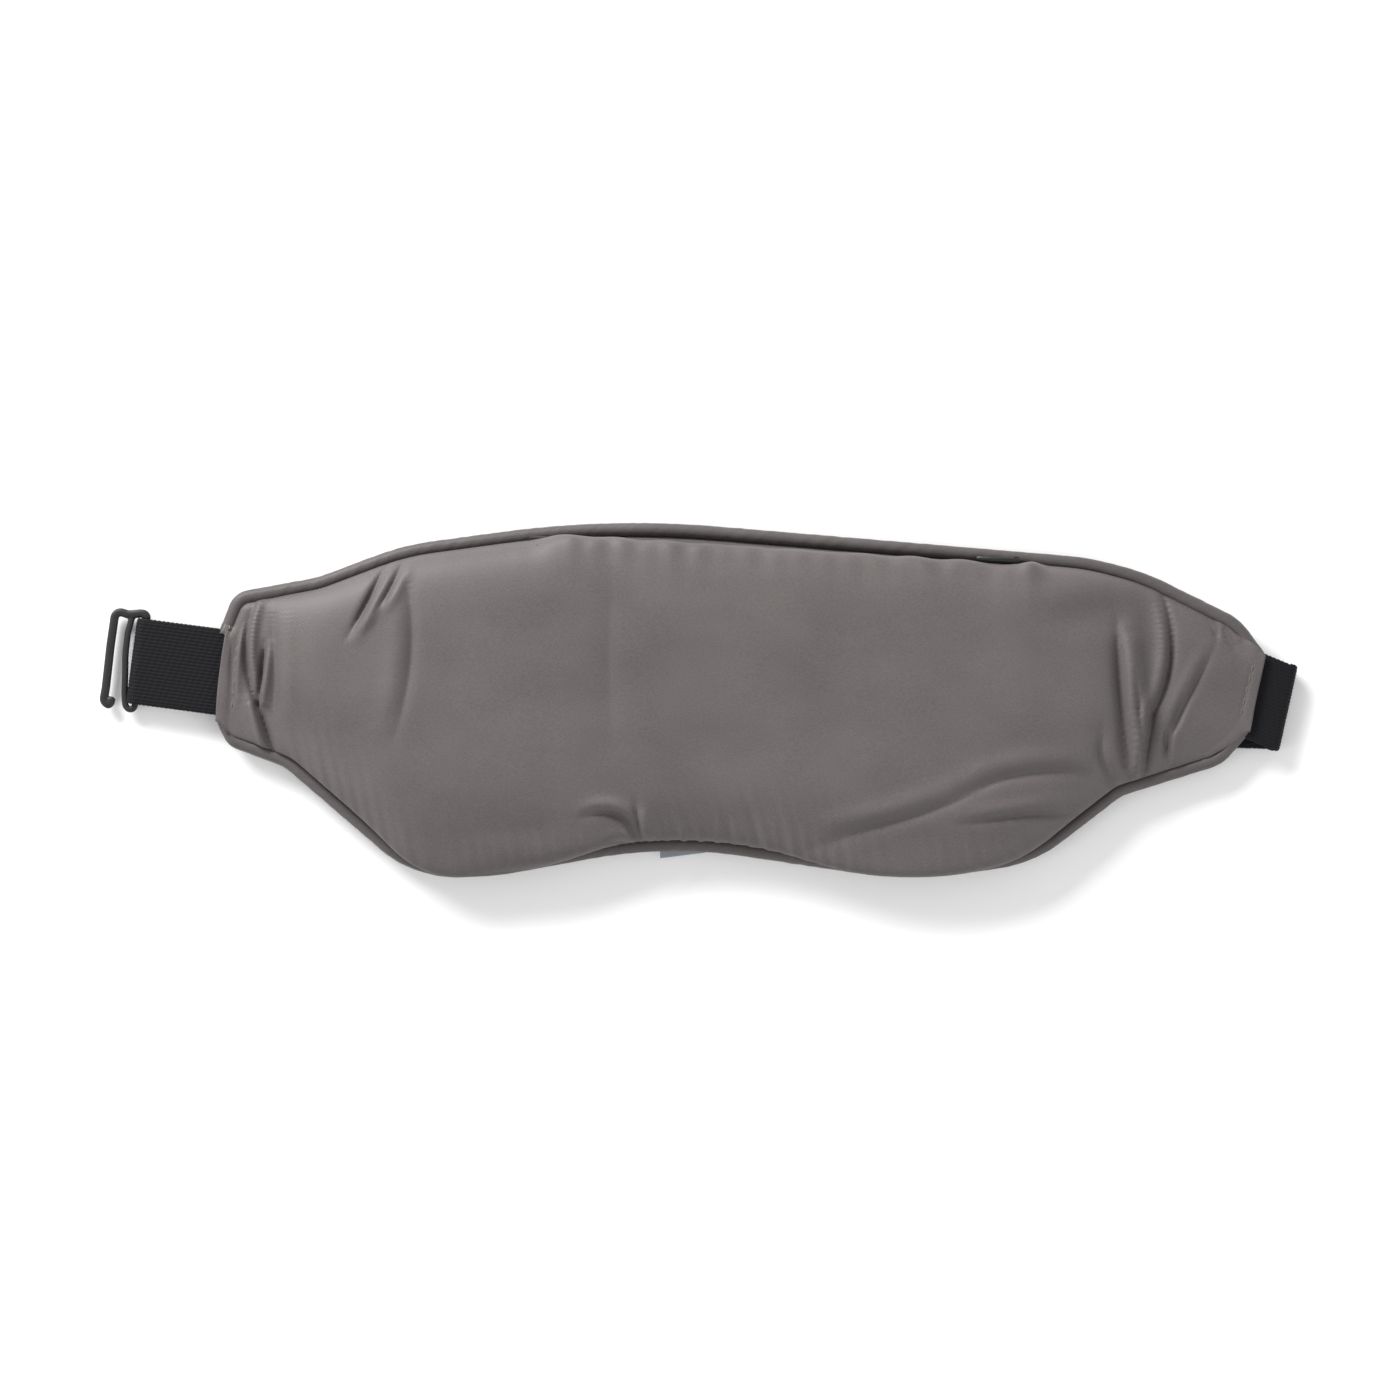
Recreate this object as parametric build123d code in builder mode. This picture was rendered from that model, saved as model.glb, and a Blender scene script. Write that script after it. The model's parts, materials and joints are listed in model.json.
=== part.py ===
"""Padded satin sleep mask with a zipped cover, a bead insert and a hook-and-loop-end elastic strap.

The mask lies on its back, face up: X runs along its width, Y towards its top edge, Z up.
The origin is on the floor under the middle of the whole object. Sizes are millimetres, angles degrees.
"""

import os
from math import atan2, cos, degrees, hypot, radians, sin

from build123d import *

os.makedirs("parts", exist_ok=True)

# ---- driving dimensions -------------------------------------------------------------------------
FABRIC = 0.6  # satin with its lining
SEAM_Z = 4.0  # height of the seam between the front and back panels
HEM_TOP = 6.2  # top of the thin sewn ends
SHOULDER_TOP = 11.0  # top of the padded rim
BACK_RIM = 1.8  # underside of the back panel's rim, which the flat back stands below
BACK_INSET = 2.6
CROWN_TOP = 13.6  # top of the puffed middle
SHOULDER_FILLET, CROWN_FILLET = 2.5, 2.2
PIPING_R = 1.6  # outside radius of the piping
CORD_R = 1.1  # radius of the cord inside the piping

# piping centre lines, left to right, with the radius at each inner point
TOP_SEAM = [(-110.4, 15.2), (-107.2, 23.6), (-88.5, 27.0), (-68.5, 34.5), (-21.0, 40.9),
            (90.0, 31.6), (103.0, 28.2), (124.5, 17.6), (130.0, 10.0)]
TOP_RADII = [4, 25, 60, 230, 60, 50, 12]
BOTTOM_SEAM = [(-110.9, -4.8), (-108.6, -9.4), (-95.8, -14.2), (-70.0, -36.4), (-60.5, -39.9),
               (-46.5, -39.2), (-7.6, -32.1), (49.0, -40.6), (77.0, -36.5), (97.3, -20.9),
               (120.6, -13.6), (126.9, -6.4)]
BOTTOM_RADII = [3, 12, 22, 25, 60, 110, 100, 30, 10, 8]
LEFT_HEM = [(-109.3, 16.4), (-111.6, -4.9), (-100.0, -9.5), (-100.0, 22.0)]
RIGHT_HEM = [(131.3, 10.4), (127.3, -7.4), (118.0, -11.0), (118.0, 17.0)]
ALL_X, ALL_Y = 150.0, 120.0  # beyond the whole mask
PAD_LEFT_X, PAD_RIGHT_X = -104.0, 112.0  # the padding stops short of the sewn ends
CROWN_LEFT_X, CROWN_RIGHT_X = -88.0, 96.0
CROWN_INSET = 10.0
INSERT_INSET = 6.5  # clear of the zip slider
INSERT_LEFT_X, INSERT_RIGHT_X = -99.0, 98.0
INSERT_CROWN = 4.0  # the insert's crown is drawn in by this from the cover's
INSERT_SEAM_Z = 7.0  # where its two sheets meet
BEAD_GAP = 0.05
SHEET = 0.4  # insert pouch cloth
CHANNEL_XS = [-16.0, 12.0]  # sewn channels that part the bead chambers
CHANNEL_W = 2.0

# zip, standing in the upright top wall of the front panel
ZIP_START, ZIP_END = (-32.6, 37.7), (74.2, 30.8)
ZIP_Z = 7.0  # middle of the zip
ZIP_WALL = 1.2  # length of the straight top wall, as a share of the zip's
SLOT_EXTRA, TAPE_EXTRA = 2.0, 10.0  # slot and tapes are longer than the zip too
SLOT_H = 1.0  # opening in the panel that shows the zip
TOOTH_PITCH = 1.6
TOOTH = (0.9, 1.2, 1.1)  # along the zip, deep, high
TOOTH_GAP = 0.6  # between the two rows, for the slider's post
TOOTH_DEPTH = 2.4  # middle of the teeth behind the panel's face
TAPE_T, TAPE_H = 0.4, 1.3
STOP = (1.8, 1.6)  # along the zip, deep
STOP_FILLET = 0.25
SLIDER_L, SLIDER_H, PLATE_T = 7.5, 4.2, 0.6
FRONT_PLATE_DEPTH, REAR_PLATE_DEPTH = 1.25, 3.55
POST_L, POST_T = 2.0, 0.4  # wedge between the two rows of teeth
POST_BACK = 1.4  # its middle, from the slider's front end
PLATE_FILLET = 1.0
PIN_REACH = 1.3  # pull's pin in front of the panel's face
PIN_R, PIN_HOLE_R = 0.4, 0.45
LUG_H, LUG_W = 0.8, 2.0
PULL_L, PULL_W, PULL_T = 9.4, 3.0, 1.1
PULL_Z = 7.4
PULL_NOTCH_L, PULL_NOTCH_H = 2.7, 1.1  # gap in the pull for the slider's lug
PIN_HOLD = 1.2  # length of the pin inside the pull, both ends together

# elastic and hook
ELASTIC_W, ELASTIC_T = 20.0, 1.0
HOOK_T = 1.35
HOOK_CENTRE = (-130.3, 8.95)  # middle of the hook's closed bar
HOOK_Z = 2.4
STUB_ANGLE = 172.5  # direction of the left elastic, away from the mask
STUB_IN = 26.0  # from the bar to the stub's sewn end inside the mask
STUB_FLAT = 17.0  # from the bar to where the stub runs level
STUB_BEND_R = 20.0
STUB_GAP = 0.1  # between the stub's two layers
HOOK_H = 23.2
ARM_X, MIDDLE_BAR_X = 7.4, 3.6  # hook bars, measured from the closed bar
BAR_W, ARM_W = 1.35, 2.0
BRIDGE_W = 0.9  # joins the bars at both ends
ARM_TOP = HOOK_H / 2 - 1.0  # middle of the bridge that carries the arm
TIP_R = (1.45, 1.75)  # half sizes of the arm's rounded tip
TIP_SHIFT = 0.35  # the tip curls in towards the middle bar
HOOK_CORNER_R, ARM_BEND_R = 1.5, 2.6
ARM_ROOT = 0.6  # the arm's bridge reaches this far into the middle bar

# right strap: an upper run, a fold at the crease and the rear run under the mask
FOLD_AXIS = (135.05, -1.6)
CREASE_ANGLE = 77.5
REAR_ANGLE = 177.5
UPPER_ANGLE = 2 * CREASE_ANGLE - REAR_ANGLE  # mirror of the rear run in the crease
UPPER_Z, REAR_Z = 4.6, 1.45  # middles of the two runs
FOLD_GAP = 0.15  # each run stops this far short of the fold's axis
UPPER_IN = 15.0
PAST_CREASE = 6.0  # both runs are drawn this far past the crease, then cut along it
LOOP_END = 228.0  # from the crease to the loop at the far end
LOOP_RISE = 2.0
RETURN_START = 221.0
SLIDE_AT = 165.0  # the adjuster's middle bar, from the crease
SLIDE_TRAVEL = 25.0
SLIDE_L, SLIDE_W = 12.6, 24.2
RAIL_W = 1.8
RAIL_Z = 0.1  # underside of the adjuster
END_BAR_W, END_BAR_T = 2.2, 0.7
END_BAR_INSET = 0.3  # inside the rails' ends
SLIDE_CORNER_R = 1.2
MID_BAR_W, MID_BAR_T = 2.6, 0.8
MID_BAR_Z = 3.5
WRAP_L = 11.0
WRAP_GAP = 0.05  # between the elastic and the bar that it goes round
TACK = (1.8, 0.6, 0.2)  # bartack stitch: long, wide, high
TACK_PITCH, TACK_COUNT, TACK_AT = 2.4, 7, 5.0
CLEAR = 0.3
END_PLAY, SIDE_PLAY = 1.0, 0.5  # extra room for the strap in the mask's back
U_TURN = 0.98  # share of a U-turn's radius that its two corners take
RETURN_LEAD, RETURN_BEND_R = 6.0, 40.0

LABEL_CORNERS = [(-9.3, -31.9), (-9.3, -36.9), (1.2, -35.6), (1.2, -31.9)]
LABEL_T, LABEL_Z = 0.3, 1.9
STITCH = (0.35, 1.9, 0.25)  # wide, long, high
STITCH_PITCH = 2.6
STITCH_LINES = {"left": ((-106.9, 15.6), (-108.9, -4.0)), "right": ((128.3, 8.6), (124.9, -5.4))}


def direction(angle):
    return Vector(cos(radians(angle)), sin(radians(angle)), 0)


def side_plane(origin, angle):
    """Upright plane along a strap: local x runs along it, local y up."""
    along = direction(angle)
    return Plane(origin=(origin[0], origin[1], 0), x_dir=along, z_dir=along.cross(Vector(0, 0, 1)))


def flat_plane(origin, angle, z=0.0):
    return Plane(origin=(origin[0], origin[1], z), x_dir=direction(angle), z_dir=(0, 0, 1))


ZIP_LENGTH = hypot(ZIP_END[0] - ZIP_START[0], ZIP_END[1] - ZIP_START[1])
ZIP_ANGLE = degrees(atan2(ZIP_END[1] - ZIP_START[1], ZIP_END[0] - ZIP_START[0]))
ZIP_PLANE = flat_plane(ZIP_START, ZIP_ANGLE, ZIP_Z)  # local y points out of the mask
STRAP_PLANE = flat_plane(FOLD_AXIS, REAR_ANGLE)
STRAP_SIDE = side_plane(FOLD_AXIS, REAR_ANGLE)
CREASE_SIDE = Plane(origin=(*FOLD_AXIS, 0), x_dir=direction(CREASE_ANGLE - 90),
                    z_dir=-direction(CREASE_ANGLE))
CREASE_CUT = Plane(origin=(*FOLD_AXIS, 0), x_dir=direction(CREASE_ANGLE),
                   z_dir=direction(CREASE_ANGLE - 90))

# ---- outlines ------------------------------------------------------------------------------------
def inset_route(points, radii, inset, inner_side):
    """Points and radii of a parallel route; inner_side is 1 where the mask is left of the route."""
    lines = [(Vector(*a), (Vector(*b) - Vector(*a)).normalized()) for a, b in zip(points, points[1:])]
    shifts = [Vector(-along.Y, along.X) * inner_side * inset for _, along in lines]
    moved = [lines[0][0] + shifts[0]]
    new_radii = []
    for index in range(1, len(lines)):
        before, after = lines[index - 1][1], lines[index][1]
        turn = before.cross(after).Z * inner_side
        half = radians(before.get_angle(after)) / 2
        corner = (shifts[index - 1] + shifts[index]).normalized() * (inset / cos(half))
        moved.append(lines[index][0] + (corner if inset else Vector(0, 0)))
        new_radii.append(radii[index - 1] - inset if turn > 0 else radii[index - 1] + inset)
    moved.append(Vector(*points[-1]) + shifts[-1])
    return moved, new_radii


def trimmed(points, radii, left, right):
    """The route without the ends that lie beyond left and right."""
    first, last = 0, len(points)
    while points[first + 1][0] < left:
        first += 1
    while points[last - 2][0] > right:
        last -= 1
    return points[first:last], radii[first:last - 2]


def pad_outline(inset, left, right):
    """The padded outline inside the piping, drawn in by inset, between two values of X."""
    top, top_radii = inset_route(*trimmed(TOP_SEAM, TOP_RADII, left, right), PIPING_R + inset, -1)
    bottom, bottom_radii = inset_route(
        *trimmed(BOTTOM_SEAM, BOTTOM_RADII, left, right), PIPING_R + inset, 1)
    with BuildSketch() as outline:
        with BuildLine():
            FilletPolyline(*top, radius=top_radii)
            FilletPolyline(*bottom, radius=bottom_radii)
            Line(top[0], bottom[0])
            Line(top[-1], bottom[-1])
        make_face()
        with Locations(Location((*ZIP_START, 0), (0, 0, ZIP_ANGLE))):
            with Locations((ZIP_LENGTH / 2, -inset)):
                Rectangle(ZIP_LENGTH * ZIP_WALL, ALL_Y, align=(Align.CENTER, Align.MIN), mode=Mode.SUBTRACT)
        with Locations(((left + right) / 2, 0)):
            Rectangle(right - left, ALL_Y, mode=Mode.INTERSECT)
    return outline.sketch


def hem_outline(inset):
    """The whole outline with both sewn ends, drawn in by inset."""
    with BuildSketch() as outline:
        for corners in (LEFT_HEM, RIGHT_HEM):
            with BuildSketch(mode=Mode.ADD):
                Polygon(*corners, align=None)
                if inset:
                    offset(amount=-inset, kind=Kind.INTERSECTION, mode=Mode.REPLACE)
        add(pad_outline(inset, -ALL_X, ALL_X))
    return outline.sketch


def strip(points, radii, width):
    """Section of a band of the given width along a route."""
    near, near_radii = inset_route(points, radii, width / 2, 1)
    far, far_radii = inset_route(points, radii, width / 2, -1)
    with BuildSketch() as band:
        with BuildLine():
            FilletPolyline(*near, radius=near_radii)
            FilletPolyline(*far, radius=far_radii)
            Line(near[0], far[0])
            Line(near[-1], far[-1])
        make_face()
    return band.sketch


def front_solid(skin):
    """The space inside the front panel's outer face, drawn in by skin."""
    with BuildPart() as solid:
        with BuildSketch(Plane.XY.offset(SEAM_Z)):
            add(pad_outline(skin, PAD_LEFT_X + skin, PAD_RIGHT_X - skin))
        extrude(amount=SHOULDER_TOP - skin - SEAM_Z)
        fillet(solid.faces().filter_by(Plane.XY).sort_by(Axis.Z)[-1].edges(), SHOULDER_FILLET - skin)
        with BuildSketch(Plane.XY.offset(SEAM_Z)):
            add(pad_outline(CROWN_INSET + skin, CROWN_LEFT_X + skin, CROWN_RIGHT_X - skin))
        extrude(amount=CROWN_TOP - skin - SEAM_Z)
        fillet(solid.faces().filter_by(Plane.XY).sort_by(Axis.Z)[-1].edges(), CROWN_FILLET - skin)
        with BuildSketch(Plane.XY.offset(SEAM_Z)):
            add(hem_outline(skin))
        extrude(amount=HEM_TOP - skin - SEAM_Z)
    return solid.part


def strap_space(margin):
    """Room under the mask for the rear run and, deeper, for the adjuster's travel."""
    deep_from = SLIDE_AT - SLIDE_TRAVEL - SLIDE_L / 2 - END_PLAY
    deep_to = LOOP_END + 2 * END_PLAY
    slide_top = MID_BAR_Z + MID_BAR_T / 2 + WRAP_GAP + ELASTIC_T
    with BuildPart() as space:
        with BuildSketch(STRAP_PLANE):
            with Locations((LOOP_END / 2, 0)):
                Rectangle(LOOP_END + 2 * margin, ELASTIC_W + 2 * (margin + SIDE_PLAY))
        extrude(amount=REAR_Z + ELASTIC_T / 2 + margin)
        with BuildSketch(STRAP_PLANE):
            with Locations(((deep_from + deep_to) / 2, 0)):
                Rectangle(deep_to - deep_from + 2 * margin, SLIDE_W + 2 * margin)
        extrude(amount=slide_top + margin)
    return space.part


def back_solid(skin):
    """The space inside the back panel's outer face, drawn in by skin and clear of the strap."""
    with BuildPart() as solid:
        with BuildSketch(Plane.XY.offset(BACK_RIM + skin)):
            add(hem_outline(skin))
        extrude(amount=SEAM_Z - BACK_RIM - skin)
        with BuildSketch(Plane.XY.offset(skin)):
            add(pad_outline(BACK_INSET + skin, PAD_LEFT_X + skin, PAD_RIGHT_X - skin))
        extrude(amount=SEAM_Z - skin)
        add(strap_space(CLEAR + skin), mode=Mode.SUBTRACT)
    return solid.part


def insert_solid(skin):
    """The bead insert's space, drawn in by skin."""
    inset = INSERT_CROWN + skin
    with BuildPart() as solid:
        with BuildSketch(Plane.XY.offset(FABRIC + CLEAR + skin)):
            add(pad_outline(INSERT_INSET + skin, INSERT_LEFT_X + skin, INSERT_RIGHT_X - skin))
        extrude(amount=SHOULDER_TOP - 2 * FABRIC - 2 * CLEAR - 2 * skin)
        with BuildSketch(Plane.XY.offset(SEAM_Z)):
            add(pad_outline(CROWN_INSET + inset, CROWN_LEFT_X + inset, CROWN_RIGHT_X - inset))
        extrude(amount=CROWN_TOP - FABRIC - CLEAR - skin - SEAM_Z)
        add(strap_space(CLEAR + FABRIC + CLEAR + skin), mode=Mode.SUBTRACT)
    return solid.part


def finish(part, label):
    part.label = label
    export_step(part, f"parts/{label}.step")


# ---- elastic and hook on the left ----------------------------------------------------------------
STUB_SIDE = side_plane(HOOK_CENTRE, STUB_ANGLE + 180)  # local x runs from the bar into the mask
HOOK_PLANE = flat_plane(HOOK_CENTRE, STUB_ANGLE, HOOK_Z - HOOK_T / 2)
STUB_UPPER_Z = SEAM_Z + STUB_GAP / 2 + ELASTIC_T / 2
STUB_LOWER_Z = SEAM_Z - STUB_GAP / 2 - ELASTIC_T / 2
LOOP_R = 1.8  # middle of the elastic round the bar

with BuildPart() as stub_strap:
    with BuildSketch(STUB_SIDE):
        add(strip([(STUB_IN, STUB_UPPER_Z), (STUB_FLAT, STUB_UPPER_Z), (-LOOP_R, HOOK_Z + LOOP_R),
                   (-LOOP_R, HOOK_Z - LOOP_R), (STUB_FLAT, STUB_LOWER_Z), (STUB_IN, STUB_LOWER_Z)],
                  [STUB_BEND_R, 0.94 * LOOP_R, 0.9 * LOOP_R, STUB_BEND_R], ELASTIC_T))
    extrude(amount=ELASTIC_W / 2, both=True)
finish(stub_strap.part, "stub_strap")

with BuildPart() as swan_hook:
    with BuildSketch(HOOK_PLANE):
        with Locations((MIDDLE_BAR_X / 2, 0)):
            RectangleRounded(MIDDLE_BAR_X + BAR_W, HOOK_H, HOOK_CORNER_R)
        with Locations((MIDDLE_BAR_X / 2, 0)):
            SlotOverall(HOOK_H - 2 * BRIDGE_W, MIDDLE_BAR_X - BAR_W, rotation=90, mode=Mode.SUBTRACT)
        add(strip([(MIDDLE_BAR_X - ARM_ROOT, ARM_TOP), (ARM_X, ARM_TOP), (ARM_X, TIP_R[1] * 2 - HOOK_H / 2)],
                  [ARM_BEND_R], ARM_W))
        with Locations((ARM_X - TIP_SHIFT, TIP_R[1] - HOOK_H / 2)):
            Ellipse(*TIP_R)
    extrude(amount=HOOK_T)
finish(swan_hook.part, "swan_hook")

# ---- elastic on the right ------------------------------------------------------------------------
with BuildPart() as strap_upper_run:
    with BuildSketch(flat_plane(FOLD_AXIS, UPPER_ANGLE, UPPER_Z - ELASTIC_T / 2)):
        with Locations((PAST_CREASE / 2 - UPPER_IN / 2, 0)):
            Rectangle(UPPER_IN + PAST_CREASE, ELASTIC_W)
    extrude(amount=ELASTIC_T)
    split(bisect_by=CREASE_CUT.offset(-FOLD_GAP), keep=Keep.BOTTOM)
finish(strap_upper_run.part, "strap_upper_run")

FOLD_R = (UPPER_Z - REAR_Z) / 2
with BuildPart() as strap_fold:
    with BuildSketch(CREASE_SIDE):
        add(strip([(-FOLD_GAP, UPPER_Z), (FOLD_R, UPPER_Z), (FOLD_R, REAR_Z), (-FOLD_GAP, REAR_Z)],
                  [FOLD_R * U_TURN] * 2, ELASTIC_T))
    extrude(amount=ELASTIC_W / 2 / cos(radians(REAR_ANGLE - CREASE_ANGLE - 90)), both=True)
finish(strap_fold.part, "strap_fold")

with BuildPart() as strap_rear_run:
    with BuildSketch(STRAP_SIDE):
        add(strip([(-PAST_CREASE, REAR_Z), (LOOP_END - ELASTIC_T / 2, REAR_Z),
                   (LOOP_END - ELASTIC_T / 2, REAR_Z + LOOP_RISE), (RETURN_START, REAR_Z + LOOP_RISE)],
                  [LOOP_RISE / 2 * U_TURN] * 2, ELASTIC_T))
    extrude(amount=ELASTIC_W / 2, both=True)
    split(bisect_by=CREASE_CUT.offset(-FOLD_GAP), keep=Keep.BOTTOM)
finish(strap_rear_run.part, "strap_rear_run")

WRAP_R = MID_BAR_T / 2 + WRAP_GAP + ELASTIC_T / 2  # middle of the elastic round the adjuster's bar
WRAP_END = SLIDE_AT + WRAP_L
WRAP_TURN = SLIDE_AT - MID_BAR_W / 2 - WRAP_R
with BuildPart() as strap_end_wrap:
    with BuildSketch(STRAP_SIDE):
        add(strip([(WRAP_END, MID_BAR_Z + WRAP_R), (WRAP_TURN, MID_BAR_Z + WRAP_R),
                   (WRAP_TURN, MID_BAR_Z - WRAP_R), (WRAP_END, MID_BAR_Z - WRAP_R)],
                  [WRAP_R * U_TURN] * 2, ELASTIC_T))
    extrude(amount=ELASTIC_W / 2, both=True)
finish(strap_end_wrap.part, "strap_end_wrap")

with BuildPart() as strap_return:
    with BuildSketch(STRAP_SIDE):
        add(strip([(RETURN_START, REAR_Z + LOOP_RISE), (RETURN_START - RETURN_LEAD, REAR_Z + LOOP_RISE),
                   (WRAP_END + RETURN_LEAD, MID_BAR_Z + WRAP_R), (WRAP_END, MID_BAR_Z + WRAP_R)],
                  [RETURN_BEND_R] * 2, ELASTIC_T))
    extrude(amount=ELASTIC_W / 2, both=True)
finish(strap_return.part, "strap_return")

with BuildPart() as wrap_bartack:
    with BuildSketch(flat_plane(FOLD_AXIS, REAR_ANGLE, MID_BAR_Z + WRAP_R + ELASTIC_T / 2)):
        with GridLocations(0, TACK_PITCH, 1, TACK_COUNT):
            with Locations((SLIDE_AT + TACK_AT, 0)):
                SlotOverall(TACK[0], TACK[1], rotation=90)
    extrude(amount=TACK[2])
finish(wrap_bartack.part, "wrap_bartack")

with BuildPart() as slide_adjuster:
    with BuildSketch(STRAP_PLANE.offset(RAIL_Z)):
        with Locations((SLIDE_AT, 0)):
            RectangleRounded(SLIDE_L, SLIDE_W, SLIDE_CORNER_R)
            Rectangle(SLIDE_L, SLIDE_W - 2 * RAIL_W, mode=Mode.SUBTRACT)
    extrude(amount=MID_BAR_Z + MID_BAR_T / 2 - RAIL_Z)
    with BuildSketch(STRAP_PLANE.offset(RAIL_Z)):
        with Locations((SLIDE_AT, 0)):
            with GridLocations(SLIDE_L - END_BAR_W - 2 * END_BAR_INSET, 0, 2, 1):
                Rectangle(END_BAR_W, SLIDE_W - RAIL_W)
    extrude(amount=END_BAR_T)
    with BuildSketch(STRAP_PLANE.offset(MID_BAR_Z - MID_BAR_T / 2)):
        with Locations((SLIDE_AT, 0)):
            Rectangle(MID_BAR_W, SLIDE_W - RAIL_W)
    extrude(amount=MID_BAR_T)
finish(slide_adjuster.part, "slide_adjuster")

# ---- zip -----------------------------------------------------------------------------------------
TEETH_FROM, TEETH_TO = 2.0, ZIP_LENGTH - 10.5  # the teeth end at the closed slider
TEETH = int((TEETH_TO - TEETH_FROM) / TOOTH_PITCH)
ROW_Z = TOOTH_GAP / 2 + TOOTH[2] / 2
CLOSED_AT = ZIP_LENGTH - 1.0  # where the slider's pin rests
BOTTOM_STOP_AT = -0.6
TOP_STOP_AT = CLOSED_AT + SLIDER_L / 2 + 1.2

for row, side in (("lower", -1), ("upper", 1)):
    with BuildPart() as zip_teeth:
        with Locations(ZIP_PLANE):
            for tooth in range(TEETH):
                shift = TOOTH_PITCH / 2 if side > 0 else 0
                with Locations((TEETH_FROM + shift + tooth * TOOTH_PITCH, -TOOTH_DEPTH, side * ROW_Z)):
                    Box(*TOOTH)
    finish(zip_teeth.part, f"zip_teeth_{row}")
    with BuildPart() as zip_tape:
        tape_z = side * (ROW_Z + TOOTH[2] / 2 + TAPE_H / 2)
        with Locations(ZIP_PLANE):
            with Locations((ZIP_LENGTH / 2, -TOOTH_DEPTH, tape_z)):
                Box(ZIP_LENGTH + TAPE_EXTRA, TAPE_T, TAPE_H)
    finish(zip_tape.part, f"zip_tape_{row}")

with BuildPart() as zip_bottom_stop:
    with Locations(ZIP_PLANE):
        with Locations((BOTTOM_STOP_AT, -TOOTH_DEPTH, 0)):
            Box(*STOP, 2 * ROW_Z + TOOTH[2])
    fillet(zip_bottom_stop.edges(), STOP_FILLET)
finish(zip_bottom_stop.part, "zip_bottom_stop")

with BuildPart() as zip_top_stops:
    with Locations(ZIP_PLANE):
        with Locations((TOP_STOP_AT, -TOOTH_DEPTH, ROW_Z), (TOP_STOP_AT, -TOOTH_DEPTH, -ROW_Z)):
            Box(*STOP, TOOTH[2])
    fillet(zip_top_stops.edges(), STOP_FILLET)
finish(zip_top_stops.part, "zip_top_stops")

with BuildPart() as zip_slider:
    with Locations(ZIP_PLANE):
        with Locations((CLOSED_AT, -FRONT_PLATE_DEPTH, 0), (CLOSED_AT, -REAR_PLATE_DEPTH, 0)):
            Box(SLIDER_L, PLATE_T, SLIDER_H)
    fillet(zip_slider.edges().filter_by(Axis((0, 0, 0), direction(ZIP_ANGLE + 90))), PLATE_FILLET)
    with Locations(ZIP_PLANE):
        with Locations((CLOSED_AT + SLIDER_L / 2 - POST_BACK, -TOOTH_DEPTH, 0)):
            Box(POST_L, REAR_PLATE_DEPTH - FRONT_PLATE_DEPTH, POST_T)
        with Locations((CLOSED_AT, (PIN_REACH - FRONT_PLATE_DEPTH) / 2, 0)):
            Box(LUG_W, PIN_REACH + FRONT_PLATE_DEPTH, LUG_H)
        with Locations((CLOSED_AT, PIN_REACH, 0)):
            Cylinder(LUG_W / 2, LUG_H)
            Cylinder(PIN_HOLE_R, LUG_H, mode=Mode.SUBTRACT)
finish(zip_slider.part, "zip_slider")

pull_face = ZIP_PLANE.from_local_coords((CLOSED_AT, PIN_REACH - PULL_T / 2, PULL_Z - ZIP_Z))
PULL_HEEL, PULL_HEEL_H = -0.9, PULL_W * 0.36  # square end behind the pin
with BuildPart() as zip_pull:
    with BuildSketch(Plane(origin=pull_face, x_dir=-direction(ZIP_ANGLE), z_dir=direction(ZIP_ANGLE + 90))):
        with BuildLine():
            Line((PULL_HEEL, -PULL_HEEL_H), (PULL_HEEL, PULL_HEEL_H))
            ThreePointArc((PULL_HEEL, PULL_HEEL_H), (PULL_L * 0.3, PULL_W / 2), (PULL_L, 0))
            ThreePointArc((PULL_L, 0), (PULL_L * 0.3, -PULL_W / 2), (PULL_HEEL, -PULL_HEEL_H))
        make_face()
    extrude(amount=PULL_T)
    with Locations(ZIP_PLANE):
        with Locations((CLOSED_AT, PIN_REACH, 0)):
            Box(PULL_NOTCH_L, 2 * PULL_T, PULL_NOTCH_H, mode=Mode.SUBTRACT)
            Cylinder(PIN_R, PULL_NOTCH_H + PIN_HOLD)
finish(zip_pull.part, "zip_pull")

# ---- insert --------------------------------------------------------------------------------------
insert_outer = insert_solid(0.0)
insert_inner = insert_solid(SHEET)
with BuildPart() as insert_front_sheet:
    add(insert_outer)
    add(insert_inner, mode=Mode.SUBTRACT)
    split(bisect_by=Plane.XY.offset(INSERT_SEAM_Z), keep=Keep.TOP)
finish(insert_front_sheet.part, "insert_front_sheet")

with BuildPart() as insert_back_sheet:
    add(insert_outer)
    add(insert_inner, mode=Mode.SUBTRACT)
    split(bisect_by=Plane.XY.offset(INSERT_SEAM_Z), keep=Keep.BOTTOM)
finish(insert_back_sheet.part, "insert_back_sheet")

bead_space = insert_solid(SHEET + BEAD_GAP)
chamber_ends = [-ALL_X, *CHANNEL_XS, ALL_X]
for chamber, name in enumerate(("left", "middle", "right")):
    with BuildPart() as bead_fill:
        add(bead_space)
        split(bisect_by=Plane.YZ.offset(chamber_ends[chamber] + CHANNEL_W / 2), keep=Keep.TOP)
        split(bisect_by=Plane.YZ.offset(chamber_ends[chamber + 1] - CHANNEL_W / 2), keep=Keep.BOTTOM)
    finish(bead_fill.part, f"bead_fill_{name}")

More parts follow.
